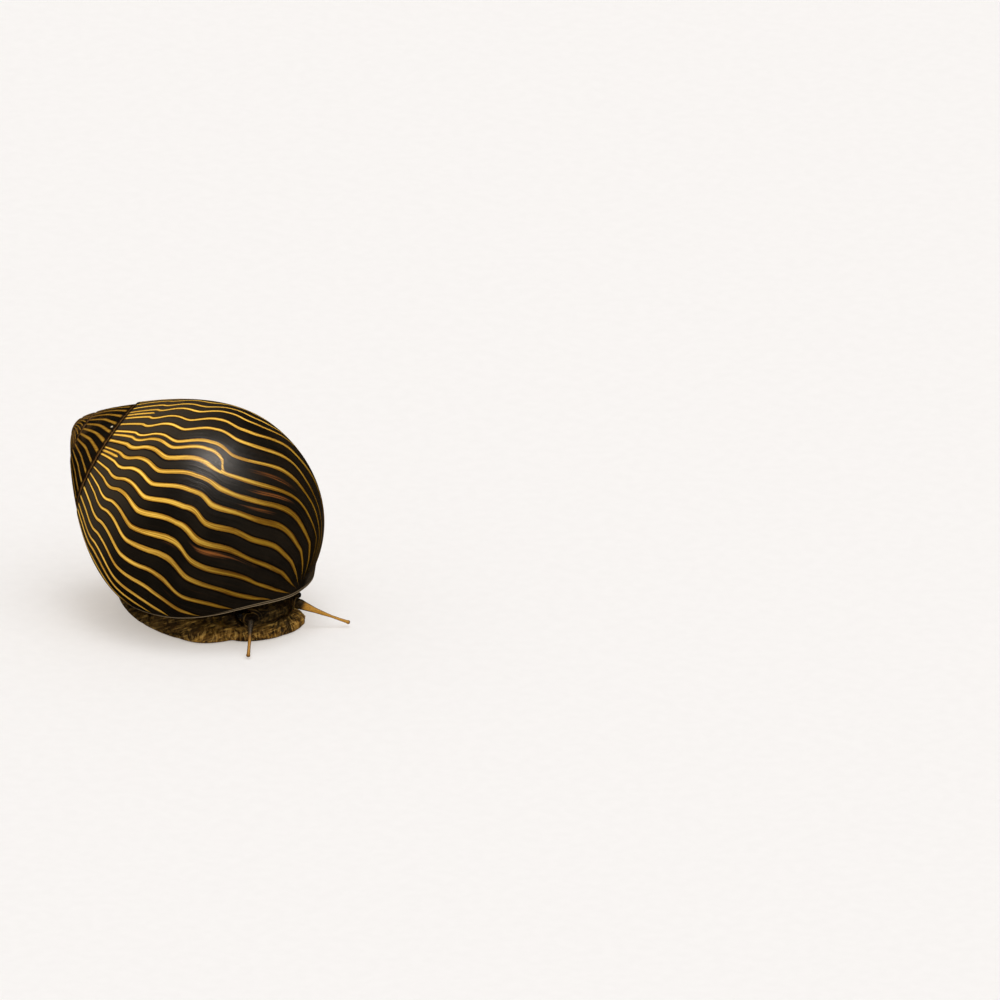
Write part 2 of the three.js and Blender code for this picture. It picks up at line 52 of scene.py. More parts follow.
# The coil of the shell, as in the CAD source.
APEX = np.array((-11.9, -2.4, 16.1))
AXIS_RISE = math.radians(30.1)
AXIS_TURN = math.radians(15.0)
SHELL_RADIUS = 10.4
WIDEST_DEPTH = 14.6
SPIRE_RISE = 14.07
BASE_DEPTH = 24.9
SPIRE_WAIST = 0.49
SPIRE_POWER = 0.97
BASE_POWER = 0.88
LAST_SUTURE = 7.1
SUTURE_GROWTH = 2.09
WHORL_GROWTH = 1.196
EDGE_SCALE = 0.934
SUTURE_BLEND = 0.07
SUTURE_DEPTH = 0.09
SUTURE_WIDTH = 0.1
SEAM_LINE = 0.36
OLDEST_TURN = -2.6
SEAM_SHARE = 0.08
SEAM_REACH = 1.5

# The rim of the shell's mouth.
MOUTH_HEIGHT = 1.9
MOUTH_SLOPE = (0.073, 0.061)
ARCH = dict(x=8.4, y=-1.9, rise=0.5, reach=3.4)
DIP = dict(x=2.5, y=-6.3, rise=-0.32, reach=4.0)
FLARE = 0.4
FLARE_HEIGHT = 1.3
FLARE_BEARING = math.radians(38)
LIP_BAND = 0.13
LIP_SCALE = 0.965
WALL_SCALE = 0.925

# The grid of the shell's surface.
AROUND = 640
ROWS = 420
TOP_CROWDING = 0.38
INNER_ROWS = 26
INNER_RISE = 0.34
RIM_DROP = 0.07
TOP_LEVEL = math.radians(89.4)


def smooth(x):
    """A smooth step from 0 to 1 as x goes from 0 to 1."""
    x = np.clip(x, 0, 1)
    return x * x * (3 - 2 * x)


def unit(v):
    return v / np.linalg.norm(v)


def to_frame(points):
    """Millimetres in the sizes' frame to metres in the row frame."""
    return (np.asarray(points, float) - MIDDLE) * MM


# Noise, the same in every run.

def lattice_noise(points, seed):
    """Smooth noise from -1 to 1 on a unit lattice, at an array of 3-D points."""
    cell = np.floor(points).astype(np.int64)
    part = smooth(points - cell)
    total = np.zeros(len(points))
    for corner in np.ndindex(2, 2, 2):
        x, y, z = (cell + np.array(corner)).T
        key = x * 374761393 + y * 668265263 + z * 1442695041 + seed * 974634777
        key = (key ^ (key >> 13)) * 1274126177
        value = ((key ^ (key >> 16)) & 0xFFFF) / 32767.5 - 1
        share = np.ones(len(points))
        for along in range(3):
            share = share * (part[:, along] if corner[along] else 1 - part[:, along])
        total += value * share
    return total


def fractal(points, size, octaves=3, seed=1):
    """Noise in octaves, the largest of the given size in millimetres."""
    total = np.zeros(len(points))
    for octave in range(octaves):
        total += lattice_noise(points * 2 ** octave / size, seed + octave) / 2 ** octave
    return total


# The shell's form.

axis = np.array((
    -math.cos(AXIS_RISE) * math.cos(AXIS_TURN),
    -math.cos(AXIS_RISE) * math.sin(AXIS_TURN),
    math.sin(AXIS_RISE),
))
under = unit(np.array((0, 0, -1)) + axis * axis[2])
side = np.cross(axis, under)
heart = APEX - axis * WIDEST_DEPTH


def whorl_scale(turn):
    early = WHORL_GROWTH ** np.minimum(np.maximum(turn, OLDEST_TURN) + 0.5, 0)
    return early * (1 - (1 - EDGE_SCALE) * smooth((turn + 0.5) / 0.5))


def suture_radius(turn):
    return LAST_SUTURE * SUTURE_GROWTH ** turn * whorl_scale(turn)


def outer_scale(fraction, radius):
    """Size of the last whorl, which meets the one before it where it starts."""
    seam = smooth((fraction + SEAM_SHARE) / SEAM_SHARE)
    outside = smooth((radius - suture_radius(0.0)) / SEAM_REACH)
    return whorl_scale(fraction) + (whorl_scale(-1.0) - whorl_scale(0.0)) * seam * outside


def spire_share(level):
    """The radius of a whorl above its widest level, as a share of the widest."""
    up = np.sin(level)
    return np.maximum(np.cos(level), 0) ** SPIRE_POWER * (1 - SPIRE_WAIST * up * up)


STEPS_UP = np.linspace(0, math.pi / 2, 4001)
SHARES_UP = spire_share(STEPS_UP)


def spire_depth(scale, radius):
    """The depth under the apex at which a whorl has a radius, on its spire side."""
    level = np.interp(-radius / (SHELL_RADIUS * scale), -SHARES_UP, STEPS_UP)
    return (WIDEST_DEPTH - SPIRE_RISE * np.sin(level)) * scale


def layered_depth(fraction, radius):
    """The depth of the spire, where each older whorl shows inside its suture."""
    depth = spire_depth(outer_scale(fraction, radius), radius)
    for back in range(3):
        inside = smooth((suture_radius(fraction - back) - radius) / (2 * SUTURE_BLEND) + 0.5)
        older = spire_depth(whorl_scale(fraction - back - 1), radius)
        depth = depth + (older - spire_depth(whorl_scale(fraction - back), radius)) * inside
    return depth


def coil_radius(fraction, level):
    """Distance from the coil axis."""
    share = np.where(level > 0, spire_share(level), np.maximum(np.cos(level), 0) ** BASE_POWER)
    return SHELL_RADIUS * outer_scale(fraction, SHELL_RADIUS) * share


def bump(x, y, place):
    away = (x - place["x"]) ** 2 + (y - place["y"]) ** 2
    return place["rise"] * np.exp(-away / place["reach"] ** 2)


def mouth_height(x, y):
    plane = MOUTH_HEIGHT + MOUTH_SLOPE[0] * (x - APEX[0]) + MOUTH_SLOPE[1] * (y - APEX[1])
    return plane + bump(x, y, ARCH) + bump(x, y, DIP)


def suture_groove(fraction, radius):
    """Share of the groove's depth, 1 in the middle of a suture."""
    depth = np.zeros(np.shape(radius))
    for back in range(3):
        away = (radius - suture_radius(fraction - back)) / SUTURE_WIDTH
        depth = np.maximum(depth, np.exp(-away * away))
    return depth


def shell_point(fraction, level, scale=1.0):
    """Points of the shell's outer surface, or of one like it nearer to its heart."""
    radius = coil_radius(fraction, level)
    groove = suture_groove(fraction, radius) * (level > 0)
    middle = WIDEST_DEPTH * outer_scale(fraction, SHELL_RADIUS)
    lower = middle - (BASE_DEPTH - middle) * np.sin(level)
    depth = np.where(level > 0, layered_depth(fraction, radius), lower)
    angle = -TURN * fraction
    point = APEX + np.multiply.outer(radius * np.cos(angle), under)
    point += np.multiply.outer(radius * np.sin(angle), side) - np.multiply.outer(depth, axis)
    inward = point - heart
    inward /= np.linalg.norm(inward, axis=-1, keepdims=True)
    point -= inward * (groove * SUTURE_DEPTH)[..., None]
    above = point[..., 2] - mouth_height(point[..., 0], point[..., 1])
    out = (point - heart) * (1, 1, 0)
    out /= np.maximum(np.linalg.norm(out, axis=-1, keepdims=True), 1e-6)
    facing = out[..., 0] * math.cos(FLARE_BEARING) + out[..., 1] * math.sin(FLARE_BEARING)
    low = np.clip(1 - above / FLARE_HEIGHT, 0, 1) ** 1.3
    point += out * (FLARE * low * smooth((facing - 0.3) / 0.6))[..., None]
    return heart + (point - heart) * scale


def lip_levels(fractions):
    """The level at which each meridian reaches the rim of the mouth."""
    levels = np.linspace(math.radians(60), math.radians(-89.9), 900)
    f, l = np.meshgrid(fractions, levels, indexing="ij")
    p = shell_point(f, l)
    above = p[..., 2] - mouth_height(p[..., 0], p[..., 1])
    first = np.argmax(above < 0, axis=1)
    first = np.where((above < 0).any(axis=1), first, len(levels) - 1)
    rows = np.arange(len(fractions))
    a, b = above[rows, first - 1], above[rows, first]
    share = np.clip(a / np.maximum(a - b, 1e-9), 0, 1)
    return levels[first - 1] + (levels[first] - levels[first - 1]) * share


# The shell's markings. A point of the shell has its share of a turn and its level, in radians, 0 at the
# widest. A line is named by its place, the share of a turn at which it crosses level 0.

# The lines that the photograph shows, and the spacing of those behind and before them.
LINE_PLACES = (
    -0.5511, -0.5268, -0.4961, -0.469, -0.44, -0.4205, -0.3802, -0.3558,
    -0.3312, -0.3066, -0.2783, -0.2537, -0.2237, -0.1952, -0.1663, -0.144,
)
BACK_GAP = 0.0285
FRONT_GAP = 0.026

# Lines that run from the suture down between two others: how gradually they end, and for each the level
# at which it ends and its place.
EXTRA_REACH = 0.05
EXTRA_LINES = (
    (0.60, -0.3680),
    (0.62, -0.5115),
    (0.30, -0.6225),
    (-0.20, -0.7080),
    (0.45, -0.7935),
    (0.10, -0.8790),
)

# Two lines that join into one: the level, how gradually, the places of the two and of the one,
# and how far these drift aside.
JOIN_LEVEL = -0.035
JOIN_REACH = 0.1
JOINED = (-0.4265, -0.4145)
JOIN_PLACE = -0.4205
DRIFT_ABOVE = dict(middle=-0.400, reach=0.014, size=0.0105)
DRIFT_BELOW = dict(middle=-0.4065, reach=0.0165, size=0.0155)

# How a line leans: its place, then the shift for the level, its square and its cube.
LEANS = (
    (-0.98, 0.0, 0.0, 0.0),
    (-0.62, 0.13, -0.09, 0.07),
    (-0.56, 0.1322, -0.107, 0.0925),
    (-0.48, 0.0848, 0.0056, 0.0085),
    (-0.40, 0.0702, -0.0102, 0.0211),
    (-0.32, 0.0457, 0.0072, 0.0031),
    (-0.24, 0.0107, 0.0052, -0.0095),
    (-0.15, -0.0489, 0.0089, 0.09),
    (-0.02, 0.0, 0.0, 0.0),
)

# On the far side, which starts at this place, the lines under this level lean as the one there does.
STEADY_PLACE = -0.48
STEADY_LEVEL = -0.6

# The waves of a line, crest and trough in turn: the level, its change with the line's place, and the size.
CREST_MIDDLE = -0.3
CRESTS = (
    (1.141, -0.5, 0.0200),
    (0.61, -0.13, 0.0036),
    (0.504, -0.44, 0.0024),
    (0.421, -0.43, 0.0036),
    (0.217, -0.76, 0.0076),
    (-0.043, -1.39, 0.0034),
    (-0.289, -1.89, 0.0064),
    (-1.161, -4.48, 0.0080),
    (-1.53, -2.16, 0.0),
)

# Smaller ripples low on the whorl: the middle place, the size, a crest's level, its change and the spacing.
RIPPLE_REACH = 0.03
RIPPLES = (
    (-0.900, 0.0022, -0.55, -1.5, 0.45),
    (-0.820, 0.0024, -0.60, 2.0, 0.40),
    (-0.740, 0.0022, -0.45, -2.0, 0.42),
    (-0.660, 0.0024, -0.50, 1.5, 0.45),
    (-0.580, 0.0022, -0.40, -2.0, 0.40),
    (-0.510, 0.0022, -0.50, 1.0, 0.45),
    (-0.450, 0.0021, -0.643, 1.9, 0.51),
    (-0.385, 0.0024, -0.387, -1.7, 0.60),
    (-0.335, 0.0021, -0.637, -2.5, 0.377),
    (-0.285, 0.0034, -1.03, -7.2, 0.67),
    (-0.235, -0.0028, -0.117, 0.3, 0.52),
)

# Near the base the lines stop leaning and taper off, and where no line's place can be found they fade out.
POLE_LEVEL = -1.1
TAPER_LEVEL = -1.5
FADE_FROM = 0.02
FADE_REACH = 0.012

# Half a line's width as a share of the usual spacing, and that spacing; then the same on the spire,
# with how far its lines bend.
LINE_SHARE = 0.132
USUAL_GAP = 0.0275
SPIRE_SHARE = 0.17
SPIRE_GAP = 0.0315
SPIRE_CHEVRON = 0.017

# Streaks of orange brown inside the dark bands: place, level, length in level, strength.
FLECK_WIDTH = 0.0042
FLECKS = (
    (-0.422, -0.38, 0.27, 1.0),
    (-0.393, -0.50, 0.24, 0.9),
    (-0.369, -0.48, 0.22, 0.7),
    (-0.297, -0.42, 0.24, 1.0),
    (-0.299, -0.76, 0.22, 0.5),
    (-0.272, -0.10, 0.16, 0.4),
    (-0.240, -0.50, 0.20, 0.35),
    (-0.212, -0.30, 0.15, 0.35),
    (-0.62, -0.30, 0.20, 0.8),
    (-0.71, 0.05, 0.24, 0.7),
    (-0.80, -0.55, 0.18, 0.6),
)

# A small white spot beside the suture: share of a turn and level, and its reach in each.
WHITE_SPOT = (-0.391, 0.87)
WHITE_SPOT_REACH = (0.005, 0.013)


def fitted_lean(place, level):
    """The lean of the table's lines, flattened where those before the mouth would cross."""
    table = np.array(LEANS)
    first, second, third = (np.interp(place, table[:, 0], table[:, k]) for k in (1, 2, 3))
    cubed = np.maximum(level, -1.2 + 0.3 * smooth((place + 0.27) / 0.1)) ** 3
    return first * level + second * level ** 2 + third * cubed


def lean(place, level):
    """How far a line is from its place at level 0, apart from its waves."""
    reached = np.where(place < STEADY_PLACE, np.maximum(level, STEADY_LEVEL), level)
    further = fitted_lean(STEADY_PLACE, level) - fitted_lean(STEADY_PLACE, reached)
    return fitted_lean(place, reached) + further * smooth((place + 0.98) / 0.3)


def wave(place, level):
    """The undulations, which come closer together near the suture and shift from line to line."""
    across = np.clip(place - CREST_MIDDLE, -0.2, 0.16)
    crests = [middle + change * across for middle, change, size in CRESTS]
    phase = np.zeros(np.shape(level))
    for upper, lower in zip(crests, crests[1:]):
        phase = phase + np.clip((upper - level) / np.maximum(upper - lower, 0.03), 0, 1)
    size = np.interp(phase, np.arange(len(CRESTS)), [crest[2] for crest in CRESTS])
    edges = smooth((-0.02 - place) / 0.06) * smooth((place + 0.99) / 0.1)
    swing = size * np.cos(math.pi * phase)
    for middle, size, crest, change, spacing in RIPPLES:
        near = np.exp(-((place - middle) / RIPPLE_REACH) ** 2) * smooth((0.15 - level) / 0.25)
        swing = swing + size * near * np.cos(TURN * (level - crest - change * (place - middle)) / spacing)
    return swing * edges


def straightened(turn, level):
    """The place at level 0 of the line that passes through a point."""
    found = turn
    for _ in range(30):
        found = 0.5 * found + 0.5 * (turn - lean(found, level) - wave(found, level))
    return found


def all_places():
    """The places of the lines round the whole turn."""
    back = [LINE_PLACES[0] - BACK_GAP * k for k in range(1, 17) if LINE_PLACES[0] - BACK_GAP * k > -1.0]
    front = [LINE_PLACES[-1] + FRONT_GAP * k for k in range(1, 7)]
    return [*reversed(back), *LINE_PLACES, *front]


def counted(across, places):
    """Lines counted up to a place, and the count's slope."""
    before = np.minimum(across - places[0], 0) / BACK_GAP
    after = np.maximum(across - places[-1], 0) / FRONT_GAP
    numbers = np.interp(across, places, np.arange(len(places))) + before + after
    gaps = np.concatenate([[BACK_GAP], np.diff(places), [FRONT_GAP]])
    return numbers, 1 / gaps[np.searchsorted(places, across)]


def drifted(place, level):
    """A place moved aside near the join, where two lines part above it and one drifts below it."""
    parted = smooth((level - JOIN_LEVEL) / 0.16)
    for drift, share in ((DRIFT_ABOVE, parted), (DRIFT_BELOW, 1 - parted)):
        aside = np.exp(-((place - drift["middle"]) / drift["reach"]) ** 2)
        place = place - drift["size"] * aside * share
    return place


def line_swing(fraction, level):
    """The swing from line to line, half a line's width as a share of the spacing, the place and the layer."""
    radius = coil_radius(fraction, level)
    inside = [(radius < suture_radius(fraction - back)) & (level > 0) for back in range(3)]
    layer = np.sum(inside, axis=0)
    turn = fraction - layer
    steady = np.maximum(level, POLE_LEVEL)
    across = straightened(fraction, steady)
    missed = np.abs(across + lean(across, steady) + wave(across, steady) - fraction)
    spots = np.stack([across * 60, level * 7, layer * 5.0], axis=-1).reshape(-1, 3)
    wobble = fractal(spots, 1.6, 2, 11).reshape(across.shape)
    drift = fractal(spots, 6.0, 2, 17).reshape(across.shape)
    moved = across + 0.0007 * wobble
    stretch = (drifted(moved + 0.001, level) - drifted(moved - 0.001, level)) / 0.002
    moved = drifted(moved, level)
    places = all_places()
    number, slope = counted(moved, places)
    swing = np.exp(1j * TURN * number)
    changes = [(end, sorted([*places, place]), place, EXTRA_REACH) for end, place in EXTRA_LINES]
    apart = sorted([*(place for place in places if place != JOIN_PLACE), *JOINED])
    changes.append((JOIN_LEVEL, apart, JOIN_PLACE, JOIN_REACH))
    for end, changed, place, reach in changes:
        more, steeper = counted(moved, changed)
        shown = smooth((level - end) / reach + 0.5)
        swing = swing * (1 - shown + shown * np.exp(1j * TURN * (more - number)))
        slope = slope + shown * (steeper - slope) * (np.abs(moved - place) < 0.03)
    strip = np.log(np.maximum(suture_radius(turn + 1) / np.maximum(radius, 1e-3), 1e-3))
    strip = np.clip(strip / np.log(suture_radius(turn + 1) / suture_radius(turn)), 0, 1)
    chevron = SPIRE_CHEVRON * np.sqrt((2 * strip - 0.8) ** 2 + 0.04) * smooth((-1 - turn) / 0.12)
    spire = (turn + 1 - chevron + 0.0012 * wobble) / SPIRE_GAP + (-1 - places[0]) / BACK_GAP
    old = layer > 0
    swing = np.where(old, np.exp(1j * TURN * spire), swing)
    uneven = 1 + 0.16 * drift + 0.12 * wobble
    share = np.where(old, SPIRE_SHARE, LINE_SHARE * USUAL_GAP * slope * stretch) * uneven
    share = share * smooth((level - TAPER_LEVEL) / 0.3) * smooth((FADE_FROM - missed) / FADE_REACH)
    return swing, np.minimum(share, 0.3), across, layer


def grid_faces(rows, columns):
    """Quads of a grid that closes on itself along its columns."""
    i, j = np.meshgrid(np.arange(rows - 1), np.arange(columns), indexing="ij")
    a = i * columns + j
    b = i * columns + (j + 1) % columns
    return np.stack([a, a + columns, b + columns, b], axis=-1).reshape(-1, 4)


def end_caps(rows, columns, count):
    """Triangles that close a grid at its first and its last row with the last two of all points."""
    last = (rows - 1) * columns
    caps = []
    for j in range(columns):
        following = (j + 1) % columns
        caps += [(count - 2, j, following), (count - 1, last + following, last + j)]
    return caps


def mesh_object(name, points, quads, triangles=()):
    """An object from points in metres."""
    mesh = bpy.data.meshes.new(name)
    faces = quads.tolist() if isinstance(quads, np.ndarray) else list(quads)
    mesh.from_pydata(np.asarray(points).tolist(), [], faces + list(triangles))
    mesh.update()
    mesh.shade_smooth()
    made = bpy.data.objects.new(name, mesh)
    bpy.context.scene.collection.objects.link(made)
    return made


def store(obj, name, values):
    """Keeps one number or one vector for each point of an object."""
    values = np.asarray(values, np.float32)
    kind, field = ("FLOAT", "value") if values.ndim == 1 else ("FLOAT_VECTOR", "vector")
    obj.data.attributes.new(name, kind, "POINT").data.foreach_set(field, values.ravel())


def shell_piece():
    fractions = -np.arange(AROUND) / AROUND
    lips = lip_levels(fractions)
    v = np.linspace(0, 1, ROWS)[:, None]
    v = v * (1 - TOP_CROWDING) + v * v * TOP_CROWDING
    level = TOP_LEVEL + (lips[None, :] - TOP_LEVEL) * v
    fraction = np.broadcast_to(fractions[None, :], level.shape)
    outer = shell_point(fraction, level)
    swing, share, across, layer = line_swing(fraction, level)
    above = outer[..., 2] - mouth_height(outer[..., 0], outer[..., 1])
    inner_levels, inner_points = [], []
    for k in range(INNER_ROWS):
        rise = k / (INNER_ROWS - 1)
        scale = LIP_SCALE + (WALL_SCALE - LIP_SCALE) * smooth(rise / 0.35)
        row_level = lips + INNER_RISE * rise
        inner_levels.append(row_level)
        inner_points.append(shell_point(fractions, row_level, scale))
    rim = 0.5 * (outer[-1] + inner_points[0]) - (0, 0, RIM_DROP)
    roof = inner_points[-1].mean(axis=0) + (0, 0, 0.6)
    closing = [roof + (inner_points[-1] - roof) * s + (0, 0, 0.25 * (1 - s)) for s in (0.8, 0.55, 0.3)]
    rows = [*outer, 0.5 * (outer[-1] + rim) - (0, 0, 0.03), rim]
    rows += [0.5 * (inner_points[0] + rim) - (0, 0, 0.03), *inner_points, *closing]
    points = np.concatenate(rows)
    extra = len(rows) - ROWS
    top = shell_point(np.array([-0.5]), np.array([math.radians(89.99)]))
    points = np.concatenate([points, top, [roof]])
    quads = grid_faces(len(rows), AROUND)
    shell = mesh_object("shell", to_frame(points), quads, end_caps(len(rows), AROUND, len(points)))

    def keep(name, *parts):
        """Stores three values on the outside, each with its value on the inside and at the tip."""
        columns = []
        for grid, inside, at_tip in parts:
            tail = np.full((extra, AROUND), inside, float)
            columns.append(np.concatenate([grid, tail]).reshape(-1).tolist() + [at_tip, inside])
        store(shell, name, np.stack(columns, axis=-1))

    ring = TURN * across
    keep("swing", (swing.real, -1.0, -1.0), (swing.imag, 0.0, 0.0), (share, 0.01, 0.05))
    keep("growth", (np.cos(ring), 0.0, 0.0), (np.sin(ring), 0.0, 0.0), (level, 0.0, 1.6))
    fleck = np.zeros(level.shape)
    for f0, l0, reach, strength in FLECKS:
        spot = ((across - f0) / FLECK_WIDTH) ** 2 + ((level - l0) / reach) ** 2
        fleck += strength * np.exp(-spot * 1.6)
    fleck *= (layer == 0)
    white_spot = np.exp(-((fraction - WHITE_SPOT[0]) / WHITE_SPOT_REACH[0]) ** 2 - ((level - WHITE_SPOT[1]) / WHITE_SPOT_REACH[1]) ** 2)
    keep("marks", (above, 0.0, 9.0), (fleck, 0.0, 0.0), (fraction, -0.5, -0.5))
    bearing = outer[..., 0] * math.cos(CAMERA_AZIMUTH) + outer[..., 1] * math.sin(CAMERA_AZIMUTH)
    lip_width = LIP_BAND * (1 + smooth((bearing + 1.0) / 6.0))
    seam = np.zeros(level.shape)
    for back in range(3):
        away = (coil_radius(fraction, level) - suture_radius(fraction - back)) / (SEAM_LINE * 0.6 ** back)
        seam = np.maximum(seam, np.exp(-away * away) * (level > 0))
    keep("finish", (white_spot, 0.0, 0.0), (lip_width, 0.3, 0.3), (seam, 0.0, 0.0))
    keep("parts", (np.clip(layer, 0, 1), 0.0, 1.0), (np.zeros(level.shape), 1.0, 0.0), (level, -1.0, 1.5))
    return shell


# Building materials.

def srgb(r, g, b):
    """A linear colour from 8-bit sRGB numbers."""
    def linear(v):
        v = v / 255
        return v / 12.92 if v <= 0.04045 else ((v + 0.055) / 1.055) ** 2.4
    return (linear(r), linear(g), linear(b), 1.0)


class Paint:
    """A material, and short ways to add nodes to it."""

    def __init__(self, name):
        self.material = bpy.data.materials.new(name)
        self.material.use_nodes = True
        self.tree = self.material.node_tree
        self.tree.nodes.clear()
        output = self.tree.nodes.new("ShaderNodeOutputMaterial")
        self.shader = self.tree.nodes.new("ShaderNodeBsdfPrincipled")
        self.tree.links.new(self.shader.outputs["BSDF"], output.inputs["Surface"])

    def node(self, kind, inputs=None, **settings):
        made = self.tree.nodes.new("ShaderNode" + kind)
        for key, value in settings.items():
            setattr(made, key, value)
        for key, value in (inputs or {}).items():
            self.put(made.inputs[key], value)
        return made

    def put(self, socket, value):
        if isinstance(value, bpy.types.NodeSocket):
            self.tree.links.new(value, socket)
        else:
            socket.default_value = value

    def math(self, operation, *values):
        made = self.node("Math", operation=operation)
        for socket, value in zip(made.inputs, values):
            self.put(socket, value)
        return made.outputs[0]

    def times(self, a, b):
        return self.math("MULTIPLY", a, b)

    def remap(self, value, low, high, start=0.0, end=1.0):
        """From start to end, smoothly, as the value goes from low to high."""
        made = self.node("MapRange", {
            "Value": value, "From Min": low, "From Max": high, "To Min": start, "To Max": end,
        }, interpolation_type="SMOOTHSTEP")
        return made.outputs["Result"]

    def mix(self, share, a, b, blend="MIX"):
        made = self.node("Mix", data_type="RGBA", blend_type=blend)
        self.put(made.inputs[0], share)
        self.put(made.inputs[6], a)
        self.put(made.inputs[7], b)
        return made.outputs[2]

    def over(self, base, top, value, low, high, most=1.0):
        """A colour over another, more of it as the value goes from low to high."""
        return self.mix(self.remap(value, low, high, 0.0, most), base, top)

    def attribute(self, name):
        return self.node("Attribute", attribute_name=name).outputs["Vector"]

    def split(self, vector):
        return self.node("SeparateXYZ", {0: vector}).outputs

    def noise(self, vector, scale, detail=3.0, roughness=0.55, distortion=0.0):
        made = self.node("TexNoise", {
            "Vector": vector, "Scale": scale, "Detail": detail,
            "Roughness": roughness, "Distortion": distortion,
        })
        return made.outputs["Fac"]

    def scaled(self, vector, x, y, z):
        return self.node("Mapping", {"Vector": vector, "Scale": (x, y, z)}).outputs["Vector"]

    def position(self):
        """The place in millimetres."""
        place = self.node("TexCoord").outputs["Object"]
        return self.scaled(place, 1 / MM, 1 / MM, 1 / MM)

    def bump(self, height, strength, depth):
        made = self.node("Bump", {"Height": height, "Strength": strength, "Distance": depth * MM})
        self.put(self.shader.inputs["Normal"], made.outputs["Normal"])

    def set(self, **values):
        for key, value in values.items():
            self.put(self.shader.inputs[key.replace("_", " ")], value)


def shell_paint():
    p = Paint("shell_glaze")
    cosine, sine, share = p.split(p.attribute("swing"))
    above, fleck, turn = p.split(p.attribute("marks"))
    old, inside, level = p.split(p.attribute("parts"))
    white_spot, lip_width, seam = p.split(p.attribute("finish"))
    growth = p.attribute("growth")
    place = p.position()
    away = p.math("ABSOLUTE", p.math("DIVIDE", p.math("ARCTAN2", sine, cosine), TURN))
    striae = p.noise(p.scaled(growth, 1, 1, 0.035), 95.0, 3.0, 0.6)
    coarse_striae = p.noise(p.scaled(growth, 1, 1, 0.05), 26.0, 3.0, 0.6)
    cloud = p.noise(place, 0.35, 3.0)
    fine = p.noise(place, 5.0, 3.0)
    ragged = p.math("ADD", away, p.times(p.math("SUBTRACT", fine, 0.5), 0.028))
    taper = p.remap(above, 0.15, 0.9, 0.15, 1.0)
    half = p.times(share, taper)
    gold = p.remap(ragged, p.math("ADD", half, 0.014), p.math("SUBTRACT", half, 0.014))
    core = p.remap(ragged, p.times(half, 0.95), p.times(half, 0.25))
    gold_colour = p.mix(core, srgb(150, 104, 28), srgb(216, 170, 66))
    shaded = p.mix(1.0, gold_colour, srgb(186, 168, 130), "MULTIPLY")
    gold_colour = p.over(shaded, gold_colour, striae, 0.38, 0.58)
    # Painted light and shade: the gold is made lighter high on the whorl and darker low on it, as light from
    # above would fall.
    painted_light_by_level = p.over((0.40, 0.37, 0.15, 1), (1.8, 1.9, 2.2, 1), level, -0.75, 0.45)
    gold_colour = p.mix(1.0, gold_colour, painted_light_by_level, "MULTIPLY")
    # Painted shade: the gold on the spire is darker and browner, where the spire faces away from the lamps.
    spire_shade = p.mix(1.0, gold_colour, (0.34, 0.29, 0.17, 1), "MULTIPLY")
    gold_colour = p.mix(p.times(old, 0.9), gold_colour, spire_shade)
    band = p.over(srgb(20, 16, 10), srgb(30, 24, 16), cloud, 0.35, 0.75)
    band = p.over(band, srgb(36, 25, 14), coarse_striae, 0.45, 0.75, 0.5)
    young = p.math("SUBTRACT", 1.0, old)
    # Painted reflection: the dark bands of the last whorl are lighter high up and towards the far left,
    # standing in for the bright room mirrored there.
    band = p.mix(p.times(p.remap(level, 0.05, 0.60, 0.0, 0.75), young), band, srgb(72, 62, 49))
    band = p.mix(p.times(p.remap(turn, -0.50, -0.68, 0.0, 0.75), young), band, srgb(72, 62, 49))
    beside = p.remap(p.math("SUBTRACT", away, half), 0.11, 0.03)
    outline = p.times(beside, p.remap(half, 0.01, 0.04))
    band = p.mix(outline, band, srgb(6, 4, 2))
    strands = p.noise(p.scaled(growth, 1, 1, 0.03), 60.0, 3.0, 0.6)
    streak = p.times(fleck, p.remap(strands, 0.34, 0.60, 0.15, 1.0))
    band = p.over(band, srgb(146, 86, 36), streak, 0.18, 0.95, 0.9)
    colour = p.mix(gold, band, gold_colour)
    under_lip = p.math("DIVIDE", above, lip_width)
    lip = p.remap(under_lip, 1.1, 0.9)
    lip_lines = p.math("SINE", p.math("ADD", p.times(above, 30.0), 0.6))
    lip_colour = p.over(srgb(52, 41, 27), srgb(136, 119, 92), lip_lines, -0.5, 0.7)
    colour = p.over(colour, srgb(12, 8, 4), under_lip, 1.75, 1.2, 0.9)
    colour = p.mix(lip, colour, lip_colour)
    frayed = p.math("ADD", seam, p.times(p.math("SUBTRACT", fine, 0.5), 0.5))
    colour = p.over(colour, srgb(26, 15, 6), frayed, 0.28, 0.55, 0.95)
    colour = p.over(colour, srgb(122, 84, 40), frayed, 0.74, 0.95, 0.85)
    worn = p.times(p.remap(level, 0.95, 1.35), p.remap(p.noise(place, 1.3, 4.0), 0.40, 0.62))
    colour = p.mix(p.times(worn, 0.75), colour, srgb(112, 82, 44))
    # A small white spot beside the suture.
    colour = p.over(colour, srgb(214, 200, 172), white_spot, 0.45, 0.85)
    pearl = p.mix(cloud, srgb(176, 166, 146), srgb(112, 102, 88))
    colour = p.mix(inside, colour, pearl)
    rough = p.remap(fine, 0.25, 0.75, 0.28, 0.40)
    relief = p.math("ADD", p.times(striae, 0.8), coarse_striae)
    p.bump(relief, 0.75, 0.035)
    p.set(Base_Color=colour, Roughness=rough, Specular_IOR_Level=0.09)
    return p.material


# Flesh.

SKIN_GROW = 0.2
FIRST_VOXEL = 0.1
SKIN_VOXEL = 0.065
FLESH_NODES = (
    "foot_tail", "foot_middle", "foot_front", "mantle_edge", "head", "oral_lobe_left", "oral_lobe_right",
)
LOBE_CENTRE = np.array((5.9, 1.7))
LOBE_RADII = np.array((3.2, 4.6))
LOBE_TURN = math.radians(-8)
STROKE_SLOPE = math.radians(24)
FOOT_RELIEF = 0.036
LOBE_RELIEF = 0.045
HEM = 0.07

